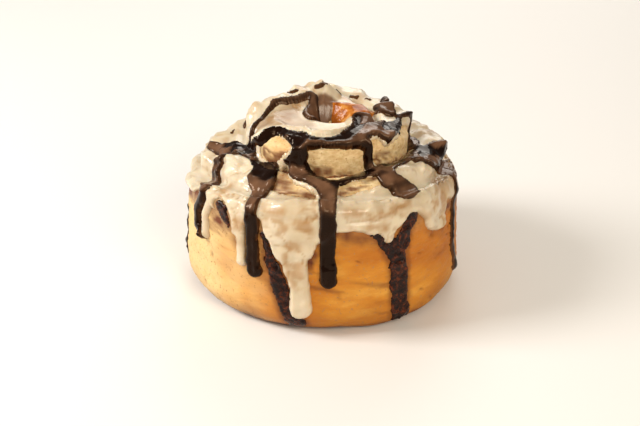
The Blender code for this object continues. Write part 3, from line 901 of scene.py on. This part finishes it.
# %% Icing: how thick it lies
edge_line = np.array([between(ICING_EDGE, lo) for lo in longitudes])[:, None]
edge_depth = (LATITUDE - edge_line) * np.radians(1.0) * soft_reach + 0.5 * crags(PLACES, 3.5, 2, 61)
icing_depth = together([edge_depth] + [flow_depth(drip)[0] for drip in ICING_DRIPS], 1.6)
patches = [pool_depth(patch) for patch in BARE_PATCHES]
bare_depth = np.max(patches + [flow_depth(BARE_EYE)[0]], axis=0)
icing_depth = np.minimum(icing_depth, -bare_depth + 0.25 * crags(PLACES, 2.0, 2, 62))
icing_depth = np.minimum(icing_depth, (87.0 - LATITUDE) * 2)
tips = tips_of(ICING_DRIPS, 0.7)
icing_ripple = 0.34 * crags(PLACES * np.array([1, 1, 0.6]), 8.0, 2, 63)
icing_ripple += 0.04 * crags(PLACES, 2.4, 2, 64)
right_wall = ease((LATITUDE - 34.0) / -6.0) * ease((32.0 - np.abs(turned(LONGITUDE + 6.0))) / 10.0)
icing_lip = ease(icing_depth / 1.2) * ease((5.0 - icing_depth) / 3.5) * (LATITUDE < 30.0)
icing_rise = 1.0 - 0.75 * right_wall + icing_ripple + 0.7 * tips + 0.4 * icing_lip
icing_rise *= rounded_height(icing_depth, 1.8)
icing_rise += ease(icing_depth / 3.0) * bulges(ICING_MOUNDS) * (1 + 0.35 * crags(PLACES, 4.5, 3, 65))
icing_rise += 1.5 * ease((depth_in(ICING_RIDGES) + 0.9) / 1.4) * ease(icing_depth / 0.8)
creases = ease(1.0 - np.abs(crags(PLACES * np.array([1, 1, 1.5]), 9.0, 3, 67)) / 0.10)
creases *= ease((crags(PLACES, 16.0, 2, 68) + 0.25) / 0.4)
icing_rise -= 0.30 * creases * ease(icing_depth / 2.0)
icing_rise -= 0.55 * ease((depth_in(ICING_SAGS) + 1.0) / 1.6) * ease(icing_depth / 1.5)
icing_floor = np.maximum(blurred(soft_reach, 3), dough_reach + 0.2)
icing_upper = icing_floor + np.where(icing_depth > 0, np.maximum(icing_rise, 0.15), 0.0)
print("the icing covers", round(100 * float((icing_depth > 0).mean())), "percent of the globe")

# %% [markdown]
# Icing is thick sugar paste, so light sinks a little way into it. Where it is thin, the brown below
# shows through, and the mesh tells the shader so through a value it carries. The same value also
# paints shade in the creases, along listed streaks and folds, around the eye and in the glazed
# hollow. A second value paints darker shade into the pit at the eye and the glazed hollow to the
# left of it.

# %% Finish of the icing


def icing_finish():
    material, tree, shader, place = new_finish("sugar_icing")
    cloud = noise_node(tree, place, 60.0, 4.0, 0.55)
    fine = noise_node(tree, place, 480.0, 3.0, 0.6)
    thick = ramp_node(tree, cloud.outputs["Fac"], [
        (0.35, (0.58, 0.465, 0.305)), (0.65, (0.70, 0.605, 0.45)),
    ])
    # the brown of thin icing, also used as painted shade in creases, folds and hollows
    colour = mixed(tree, carried(tree, "thin_and_shade"), thick.outputs["Color"], (0.41, 0.235, 0.095))
    # painted shade: the pit at the eye and the glazed hollow are mixed toward a deep brown
    colour = mixed(tree, carried(tree, "deep"), colour, (0.15, 0.062, 0.022))
    tree.links.new(colour, shader.inputs["Base Color"])
    set_values(shader, {
        "Roughness": 0.34, "Specular IOR Level": 0.45, "Coat Weight": 0.28, "Coat Roughness": 0.10,
        "Subsurface Weight": 0.35, "Subsurface Radius": (1.0, 0.6, 0.3), "Subsurface Scale": 0.0018,
    })
    bumped(tree, shader, [cloud.outputs["Fac"], fine.outputs["Fac"]], [0.22, 0.07], [0.0015, 0.0004])
    return material


GLAZED_HOLLOW = [
    (171.1, 67.5), (155.6, 70.4), (117.6, 75.6), (-136.8, 82.2), (-96.1, 77.2), (-115.6, 67.8),
    (-135.1, 65.7), (-153.4, 62), (-160.4, 56.6),
]
icing = icing_finish()
on_top = LATITUDE > TOP_LATITUDE
hollow_depth = pool_depth(GLAZED_HOLLOW)
# painted shade: besides thin icing, this value darkens the creases, the listed shade streaks, the glazed
# hollow and the ring around the eye
icing_thin_and_shade = 0.8 * (1.0 - ease((icing_upper - icing_floor) / 0.8)) + 0.5 * creases
icing_thin_and_shade += 0.45 * ease((crags(PLACES, 6.0, 3, 66) - 0.35) / 0.5)
painted_icing_shade = ease((depth_in(ICING_SHADE_STREAKS) + 1.5) / 3.0)
icing_thin_and_shade += 0.8 * painted_icing_shade * ease((crags(PLACES, 3.5, 3, 69) + 0.55) / 0.9)
icing_thin_and_shade += 0.55 * ease((hollow_depth + 0.5) / 2.0)
near_eye = ease((9.5 - eye_distance(level)) / 3.0) * on_top
icing_thin_and_shade += near_eye * (0.55 + 0.5 * crags(PLACES, 3.0, 3, 70))
# painted shade: the pit at the eye is darkened strongly, and the glazed hollow a little
from_pit = eye_distance(level, (-0.6, 2.4)) + 0.8 * lattice_noise(PLACES, 2.5, 75)
icing_hollow_shade = 0.95 * ease((7.4 - from_pit) / 1.8) * on_top
glazed = ease(hollow_depth / 2.5) * (0.8 + 0.8 * crags(PLACES, 5.0, 3, 76))
icing_hollow_shade = np.maximum(icing_hollow_shade, 0.30 * glazed)
lay_skin(
    "poured_icing", icing_depth, dough_reach - SUNK_IN_DOUGH, icing_upper, icing, "cream_icing",
    {"thin_and_shade": np.clip(icing_thin_and_shade, 0, 1), "deep": np.clip(icing_hollow_shade, 0, 1)},
)

# %% [markdown]
# ## The chocolate sauce
# The sauce is poured over the icing in a thick web. It folds into ridges on the tops of the wraps,
# fills the steps between them with dark pools, and falls down the side in long drips. The two long
# drips at the front and the one at the right end in a round swelling, so they are picked out at
# the end of the cell. The spots are small bits of chocolate that fell on the peak.

# %% Sauce: where it runs
SAUCE_POOLS = [
    [(-150.8, 53.5), (-144.6, 57.3), (-134.7, 64.8), (-107.9, 64.9), (-97.6, 61.8), (-83.5, 61.6),
     (-72.8, 63.6), (-30, 74), (2.6, 75.3), (12.6, 73), (9.3, 68.8), (2.3, 64.5), (-6.9, 61.3),
     (1.7, 54.8), (-21.8, 53.7), (-30.7, 54.1), (-40.1, 53.5), (-44.5, 57.4), (-50.5, 58.6),
     (-56.5, 57.6), (-58.2, 55), (-74.5, 56.5), (-99.2, 56.6), (-99.8, 54.3), (-98.5, 51.3),
     (-91.9, 47.1), (-85.3, 44.4), (-77.2, 45), (-61.3, 47.5), (-53.4, 48.6), (-45.9, 48.3),
     (-32.9, 45.8), (-18.5, 44.9), (-25.6, 43.3), (-40.3, 42.9), (-52.7, 43), (-64.6, 43.2),
     (-75.7, 42.2), (-81.4, 40.7), (-83.9, 38.5), (-89.8, 36.4), (-95, 40.9), (-105.8, 43.6),
     (-111.3, 46.1), (-113.6, 50.2), (-118.3, 52.1), (-112, 54.3), (-112.7, 56.9), (-120.1, 59.8),
     (-132.6, 61.5), (-140.6, 54.6)],
    [(-135.4, 43.2), (-136.6, 48.5), (-127.1, 51), (-121.5, 49.8), (-118.2, 44.7), (-116.4, 41.4),
     (-116.5, 36.6), (-123.3, 34.5), (-127.5, 36), (-132.4, 38.5)],
    [(-58.1, 42.2), (-52.8, 43.2), (-47.8, 40.6), (-43.9, 36.6), (-40.5, 33), (-46.4, 30.3),
     (-50.5, 30.2), (-55.9, 32), (-55.6, 34.8), (-58.7, 38)],
    [(-12.6, 44.4), (-9.1, 42.6), (-1, 39), (4, 33), (3.2, 25.8), (-4.4, 25.2), (-10.3, 26.7),
     (-15, 31), (-22.4, 35.2), (-25.5, 39), (-30.8, 41.3), (-27.4, 44.2)],
    [(32.4, 61.9), (22, 57), (10.2, 56), (8.4, 61), (14, 63.2), (25, 63.6)],
]
SAUCE_FLOWS = [
    [(-156, 52, 1.6), (-160, 54.5, 1), (-166, 58.5, 0.9), (-177, 62.8, 0.9), (162, 67.2, 1),
     (151, 71, 1.1), (131, 73.6, 1.1), (108, 73.8, 1.1), (104, 76, 1.3), (112, 79.5, 2),
     (125, 83, 2.8), (200, 85, 2.2)],
    [(-56, 56, 1.5), (-57, 52, 1.7), (-57, 48, 1.5)],
    [(-149, 50, 2.2), (-157, 50, 2.9), (-169.8, 45.2, 3.3), (-178, 39, 2.6), (176, 36, 1.8)],
    [(-176, 41, 2.2), (-166, 38.8, 2.8), (-160, 32.5, 3), (-151.5, 28.5, 2.8), (-151, 24, 2.3),
     (-152.7, 19, 2.1), (-152.5, 12.5, 2), (-148, 10, 1.9)],
    [(-160, 47, 1), (-151, 47.6, 1), (-143, 48.5, 1.2), (-138, 47, 1.6)],
    [(-123, 37, 3), (-120.6, 33, 2.7), (-119.5, 28, 2.5), (-119.2, 18, 2.4), (-118.6, 6, 2.7),
     (-118.4, 4.2, 3)],
    [(-87.2, 39, 3.2), (-87.6, 34, 2.9), (-87.7, 30, 2.8), (-87.6, 20, 2.8), (-87.7, 2.9, 3.2)],
    [(-48, 46.2, 1.5), (-51, 43, 2.2)],
    [(-6, 57, 1.1), (8, 55, 1.1), (16, 48, 1.1), (8, 43.6, 1.2), (-8, 43.4, 1.4)],
    [(2, 26.5, 2), (-10, 25, 1.9), (-18, 18, 1.6), (-20, 4, 1.6), (-18, -6, 1.8), (-16, -12.5, 2.2)],
    [(30, 58, 1.2), (39, 54, 1.3), (46, 44, 1.3), (48, 34, 1.4)],
    [(88, 52, 1.4), (80, 47, 1.7), (72, 40, 1.6), (76, 28, 1.6), (75, 14, 1.6), (76, 6, 1.9)],
    [(128, 56, 1.4), (136, 48, 1.6), (134, 34, 1.6), (136, 22, 1.6), (135, 4, 1.9)],
]
SAUCE_SPOTS = [
    [(167, 43.6, 0.7), (165, 44.2, 0.6)], [(163, 49.2, 0.9), (159, 50, 0.7)],
    [(177, 37.3, 0.5), (177, 37.8, 0.5)], [(122, 69.5, 0.7), (131, 68.5, 0.7)],
    [(98, 70.5, 0.5), (92, 70, 0.6)], [(88, 69, 0.5), (84, 68.6, 0.4)],
    [(74, 66, 0.6), (70, 65.5, 0.5)], [(60, 63.5, 0.7), (54, 62.5, 0.6)],
    [(46, 61, 0.6), (42, 60.5, 0.5)],
]
# hollows cut into the sauce, whose colour is also painted near black there as painted shade
SAUCE_HOLLOWS = [
    (-131, 47, 5.5, 2.2), (-123, 44.5, 4.5, 2), (-3, 58, 5, 2), (-18, 56, 5, 1.8),
    (-10, 40, 4.5, 1.6), (-155, 49.5, 3.5, 1.4), (-166, 46.5, 3.5, 1.4), (-141, 58, 4, 1.6),
    (-128, 63, 4, 1.6), (-110, 60, 5, 1.8), (-82, 43.5, 4, 1.4), (-40, 48, 4, 1.4),
]
SAUCE_SHADE = [
    [(-146, 56.5, 1), (-134.7, 63.3, 1.4), (-108, 63.3, 1.4), (-97.6, 60.3, 1.5),
     (-83.5, 59.9, 1.5), (-70, 61.5, 1.5), (-45, 67, 1.5), (-28, 72, 1.2), (0, 73.5, 1)],
    [(-149, 52, 1.2), (-158, 52.2, 1.3), (-170, 48, 1.3), (-177, 42, 1)],
    [(-19, 41.8, 1.2), (-12, 40.4, 1.4), (-5.5, 35.5, 1.4), (1, 33, 1)],
    [(-98.5, 50, 1.2), (-92, 45.6, 1.2), (-85.3, 43.2, 1.3), (-77, 43.8, 1.2), (-66, 45.6, 1.2),
     (-58, 46.6, 1)],
    [(-137.5, 46, 1.8), (-131, 45.5, 3.2), (-124.5, 44.5, 2.6)], [(-46, 46.4, 1), (-36, 45.4, 1.2)],
    [(-29, 59.5, 1.6), (-16, 59, 2.6), (-4, 58, 2.4)],
]
LONG_DRIPS = SAUCE_FLOWS[5:7] + SAUCE_FLOWS[9:10]
print(len(SAUCE_POOLS), "pools,", len(SAUCE_FLOWS), "flows and", len(SAUCE_SPOTS), "spots of sauce")

# %% [markdown]
# The sauce is highest just inside its edge and sinks a little toward its middle, as a thick sauce
# does when it sets. Hollows and lines of shade are cut into it below the folds of the icing, where
# its colour is painted near black as painted shade, and the small spots lie flatter than the rest.

# %% Sauce: how thick it lies
SAUCE_THICKNESS = 1.55
sauce_floor = np.maximum(icing_upper, blurred(icing_upper, 3))
pools = [pool_depth(pool) for pool in SAUCE_POOLS]
sauce_depth = together(pools + [flow_depth(flow)[0] for flow in SAUCE_FLOWS + SAUCE_SPOTS])
sauce_depth = sauce_depth + 0.20 * crags(PLACES, 2.4, 2, 71)
sauce_ripple = 0.35 * crags(PLACES * np.array([1, 1, 0.5]), 6.0, 3, 72)
brim = rounded_height(sauce_depth, 1.3) * (1.0 - 0.35 * ease((sauce_depth - 1.3) / 2.2))
uneven = 1.0 - 0.7 * right_wall + sauce_ripple + 0.4 * tips_of(LONG_DRIPS, 0.8)
sauce_rise = SAUCE_THICKNESS * brim * uneven
sauce_rise *= 1.0 - 0.6 * ease((depth_in(SAUCE_SPOTS) + 0.6) / 0.5)
# painted shade: these hollows and lines of shade also darken the sauce's colour below
hollows_and_shade = np.maximum(bulges(SAUCE_HOLLOWS), 1.1 * ease((depth_in(SAUCE_SHADE) + 0.6) / 1.0))
sauce_rise = np.maximum(sauce_rise - hollows_and_shade, 0.25 * np.minimum(sauce_rise, 1.0))
sauce_upper = sauce_floor + np.where(sauce_depth > 0, sauce_rise, 0.0)
print("the sauce covers", round(100 * float((sauce_depth > 0).mean())), "percent of the globe")

# %% [markdown]
# Sauce is nearly black where it is deep or hangs on the side. Where it lies flat and faces up it is
# painted milky brown as painted light, and in its hollows and lines of shade it stays black as
# painted shade. The brown is a value on the mesh, worked out from how much the skin faces up.

# %% Finish of the sauce


def upward(reach):
    """How much a skin with this reach faces up at each place, from -1 to 1."""
    points = on_globe(LONGITUDE, LATITUDE, reach)
    east = np.roll(points, -1, 0) - np.roll(points, 1, 0)
    facing = np.cross(east, np.gradient(points, axis=1))
    return blurred(facing[..., 2] / np.maximum(np.linalg.norm(facing, axis=-1), 1e-9), 2)


def sauce_finish():
    material, tree, shader, place = new_finish("dark_sauce")
    cloud = noise_node(tree, place, 90.0, 3.0, 0.5)
    fine = noise_node(tree, place, 350.0, 3.0, 0.6)
    dark = ramp_node(tree, cloud.outputs["Fac"], [
        (0.3, (0.004, 0.001, 0.0005)), (0.7, (0.012, 0.003, 0.001)),
    ])
    colour = mixed(tree, carried(tree, "thin_and_shade"), dark.outputs["Color"], (0.13, 0.05, 0.016))
    # painted light: faces turned up are mixed toward a milky brown
    colour = mixed(tree, carried(tree, "lit"), colour, (0.155, 0.076, 0.040))
    tree.links.new(colour, shader.inputs["Base Color"])
    tint = (1.0, 0.76, 0.56, 1.0)
    set_values(shader, {"Roughness": 0.11, "Specular IOR Level": 0.17, "Specular Tint": tint})
    bumped(tree, shader, [cloud.outputs["Fac"], fine.outputs["Fac"]], [0.25, 0.12], [0.001, 0.0003])
    return material


chocolate = sauce_finish()
# painted shade: thin sauce shows brown, except in the hollows and lines of shade, which stay black
sauce_thin_and_shade = np.clip(0.8 - ease(sauce_rise / 0.9), 0, 1) * (1.0 - ease(hollows_and_shade / 0.6))
# painted light: high where the skin faces up; painted shade takes it away in the hollows
sauce_lit = ease((upward(sauce_floor) - 0.15) / 0.5) * ease(sauce_depth / 1.4)
sauce_lit *= (0.82 + 0.5 * crags(PLACES, 4.5, 4, 74)) * (1.0 - ease(hollows_and_shade / 0.9))
lay_skin(
    "poured_sauce", sauce_depth, icing_upper - SUNK_IN_ICING, sauce_upper, chocolate,
    "chocolate_sauce", {"thin_and_shade": sauce_thin_and_shade, "lit": np.clip(sauce_lit, 0, 1)},
)

# %% [markdown]
# ## Burnt filling on the side
# Where filling leaked out while the roll baked, it bubbled and burnt on the side: low streaks of
# near-black crust full of small blisters that glint. They are skins of the same kind, laid right
# on the dough, with a much rougher height. They are part of the dough, so they replace no node.

# %% Burnt streaks
BURNT_FLOWS = [
    [(-114.4, 20, 1), (-112.8, 14.3, 1.5), (-110, 7.2, 2.6), (-106.9, -3.5, 3),
     (-103.8, -12.5, 3.4), (-100.6, -17.6, 3.9)],
    [(-68.5, 20.6, 1.6), (-65, 18.6, 2.4), (-61.5, 15.1, 3.1), (-57.6, 8.5, 3.7),
     (-56.8, -1.6, 3.9), (-56.6, -9.5, 3.7), (-55.6, -18.4, 3.7)],
    [(-48.6, 24.6, 1.6), (-50.5, 22, 2.6), (-53.5, 18, 3), (-56.7, 10.8, 3.2)],
    [(-138.6, 25.2, 1.6), (-135.4, 23.6, 2.6), (-133.2, 20.6, 1.8), (-132.2, 18.4, 0.7)],
    [(38, 12, 1.6), (36, 2, 2), (37, -12, 2.4)],
    [(-178, 8, 1.4), (-176, -2, 1.7), (-177, -12, 1.9)],
]
FRONT_BURNS = BURNT_FLOWS[:4]
burnt_depth = depth_in(BURNT_FLOWS) + 0.55 * crags(PLACES, 2.2, 3, 81)
blisters = 0.5 + 0.5 * crags(PLACES, 1.9, 2, 82)
blisters += 0.55 * ease((lattice_noise(PLACES, 1.3, 83) - 0.35) / 0.4)
burnt_upper = dough_reach + rounded_height(burnt_depth, 0.9) * (0.25 + 0.6 * np.clip(blisters, 0, 2))

BURNT_COLOURS = [
    (0.38, (0.006, 0.001, 0.0003)), (0.52, (0.022, 0.004, 0.0008)), (0.66, (0.12, 0.022, 0.003)),
]
burnt = grainy_finish(
    "burnt_filling", 520.0, 4.0, 0.7, BURNT_COLOURS,
    {"Roughness": 0.12, "Specular IOR Level": 0.20}, 0.6, 0.0006,
)
lay_skin(
    "burnt_streaks", burnt_depth, dough_reach - SUNK_IN_DOUGH, burnt_upper, burnt, None,
)

# %% [markdown]
# The cinnamon also stains the bare dough in thin lines, and the crust is browner beside the front
# burnt streaks and darker for a few millimetres below the icing's edge. The bare top of one wrap
# is darkened all over. All of it is written into the values that the dough's finish reads. The
# mesh is told to update, so that the finish sees the new values.

# %% Stains on the dough
STAIN_LINES = [
    [(-99.5, 51.2, 0.9), (-92, 50.2, 1.4), (-84.5, 49.9, 0.8)],
    [(-77, 48.6, 0.8), (-73, 47.6, 1.1), (-70, 48.4, 0.7)],
    [(-116, 37.6, 1.2), (-104, 37, 1.3), (-93, 36.8, 1.3)],
    [(-82, 37.6, 1.2), (-70, 40, 1.1), (-58, 42, 0.9)],
    [(-52, 50.4, 1.6), (-44, 49.6, 2.2), (-38, 47.6, 2.4), (-30, 47, 1.8)],
    [(-139, 53.2, 1.3), (-128, 51.8, 1.2), (-118, 54, 1.2)],
]
flat_points = dough_points.reshape(-1, 3)
strayed = directions_of(flat_points, 0.6, 90)
grainy = ease((crags(flat_points, 1.4, 3, 98) + 0.6) / 0.8)
lines = 0.9 * ease((depth_in(STAIN_LINES, strayed) + 0.7) / 1.2) * grainy
scorched = 0.7 * ease((depth_in(FRONT_BURNS, strayed) + 2.4) / 2.4)

away = flat_points - CENTRE
from_axis = np.hypot(away[:, 0], away[:, 1])
column = np.round((np.degrees(np.arctan2(away[:, 1], away[:, 0])) + 180.0) / STEP)
column = column.astype(int) % len(longitudes)
row = (np.degrees(np.arctan2(away[:, 2], from_axis)) - LOWEST) / STEP
row = np.clip(np.round(row), 0, len(latitudes) - 1).astype(int)
# the crust is painted darker for a few millimetres below the icing's edge
under_icing = ease((edge_depth[column, row] + 7.0) / 5.5) * (from_axis > 44.0)
below_icing_darker = 0.80 * under_icing * (0.85 + 0.7 * crags(flat_points, 4.0, 3, 96))
# the bare top of this wrap is painted darker all over
bare_wrap = ease(patches[TORN_PATCH][column, row]) * (away[:, 2] > 20.0)
darker_bare_top = 0.66 * bare_wrap * (0.9 + 0.8 * crags(flat_points, 3.0, 3, 97))
golden_piece = 0.6 * ease(patches[GOLDEN_PATCH][column, row]) * (away[:, 2] > 25.0)

new_values = {
    "crust": np.maximum(crust.reshape(-1), golden_piece),
    "stain_and_shade": np.max([stain_and_shade.reshape(-1), lines, scorched, below_icing_darker, darker_bare_top], axis=0),
}
for key, numbers in new_values.items():
    dough_roll.data.attributes[key].data.foreach_set("value", numbers.astype(np.float32))
dough_roll.data.update()
print("stained points of the dough:", int((new_values["stain_and_shade"] > 0.3).sum()))

# %% [markdown]
# ## The amber sugar
# Melted sugar has gathered in a small amber pool behind the eye. The pool also reaches over part of
# the back wall of the hollow, where its brown is painted shade. The pool is one more skin, which
# stops where the sauce begins.

# %% Amber pool
# real amber sugar, also stretched over part of the hollow's back wall as painted shade
AMBER_POOL_AND_SHADE = [
    (70, 75.6), (62, 73.4), (50, 71), (40, 69), (37, 64.6), (18, 64), (3, 70), (10, 75), (30, 77.6),
    (58, 78),
]
AMBER_COLOURS = [
    (0.35, (0.22, 0.045, 0.005)), (0.56, (0.46, 0.14, 0.014)), (0.75, (0.78, 0.42, 0.12)),
]
amber = grainy_finish(
    "amber_sugar", 260.0, 4.0, 0.6, AMBER_COLOURS,
    {"Roughness": 0.16, "Specular IOR Level": 0.18}, 0.5, 0.0008,
)
amber_depth = np.minimum(pool_depth(AMBER_POOL_AND_SHADE), -sauce_depth + 0.5)
amber_floor = np.maximum(icing_upper, blurred(icing_upper, 2))
amber_upper = amber_floor + 0.9 * rounded_height(amber_depth, 1.8)
lay_skin("amber_pool_and_shade", amber_depth, icing_upper - SUNK_IN_ICING, amber_upper, amber, None)

# %% [markdown]
# ## The floor
# The roll stands on a plain pale floor, which is one big plane. It is staging, so it is not part of
# the object.

# %% Floor
bpy.ops.mesh.primitive_plane_add(size=4.0, location=(0.0, 0.0, -0.0002))
floor = bpy.context.active_object
floor.name = "floor"
floor_paint, _, floor_shader, _ = new_finish("floor")
set_values(floor_shader, {"Base Color": (0.80, 0.78, 0.75, 1.0), "Roughness": 0.6})
floor.data.materials.append(floor_paint)

# %% [markdown]
# ## Light
# A soft lamp like a window stands high at the left, as in the photograph. A warmer one at the front
# right gives the wall its gold, a weak one behind lifts the peak, and a pale warm sky fills the
# shadows.

# %% Light
AIM = Vector((0.0, 0.0, 0.04))
world = bpy.context.scene.world or bpy.data.worlds.new("sky")
bpy.context.scene.world = world
world.use_nodes = True
set_values(world.node_tree.nodes["Background"], {"Color": (1.0, 0.94, 0.86, 1.0), "Strength": 0.36})


def soft_lamp(name, place, size, power, colour):
    """A square lamp that faces the middle of the roll."""
    bpy.ops.object.light_add(type="AREA", location=place)
    lamp = bpy.context.active_object
    lamp.name = name
    lamp.data.size = size
    lamp.data.energy = power
    lamp.data.color = colour
    lamp.rotation_euler = (AIM - Vector(place)).to_track_quat("-Z", "Y").to_euler()
    print("the", name, "lamp is", round((AIM - Vector(place)).length, 2), "m away")


soft_lamp("window", (-0.62, -0.08, 0.46), 0.28, 6.2, (1.0, 0.98, 0.96))
soft_lamp("back", (0.10, 0.70, 0.40), 0.45, 2.0, (1.0, 0.96, 0.90))
soft_lamp("front", (0.34, -0.66, 0.50), 0.40, 4.6, (1.0, 0.87, 0.69))

# %% [markdown]
# ## Camera
# The camera looks down at 29 degrees, the angle of the photograph, from 0.6 m away. It is shifted
# a little, so that the roll stands where it stands in the photograph without turning the camera,
# and the lens is long enough to make the roll as wide in the picture as it is there.

# %% Camera
ELEVATION = math.radians(29.0)
DISTANCE = 0.600
LENS, SENSOR = 89.44, 36.0
PICTURE_WIDTH = 640.0
camera_data = bpy.data.cameras.new("camera")
camera = bpy.data.objects.new("camera", camera_data)
bpy.context.scene.collection.objects.link(camera)
axis_x, axis_y = CENTRING[0] * MM, CENTRING[1] * MM
camera.location = (axis_x, axis_y - DISTANCE * math.cos(ELEVATION), DISTANCE * math.sin(ELEVATION))
camera.rotation_euler = (math.pi / 2 - ELEVATION, 0.0, 0.0)
camera_data.sensor_width = SENSOR
camera_data.lens = LENS
camera_data.shift_x = -2.0 / PICTURE_WIDTH
camera_data.shift_y = 55.0 / PICTURE_WIDTH
bpy.context.scene.camera = camera
bpy.context.scene.view_settings.view_transform = "Standard"
print("at the roll the picture is", round(1000 * DISTANCE * SENSOR / LENS), "mm wide")
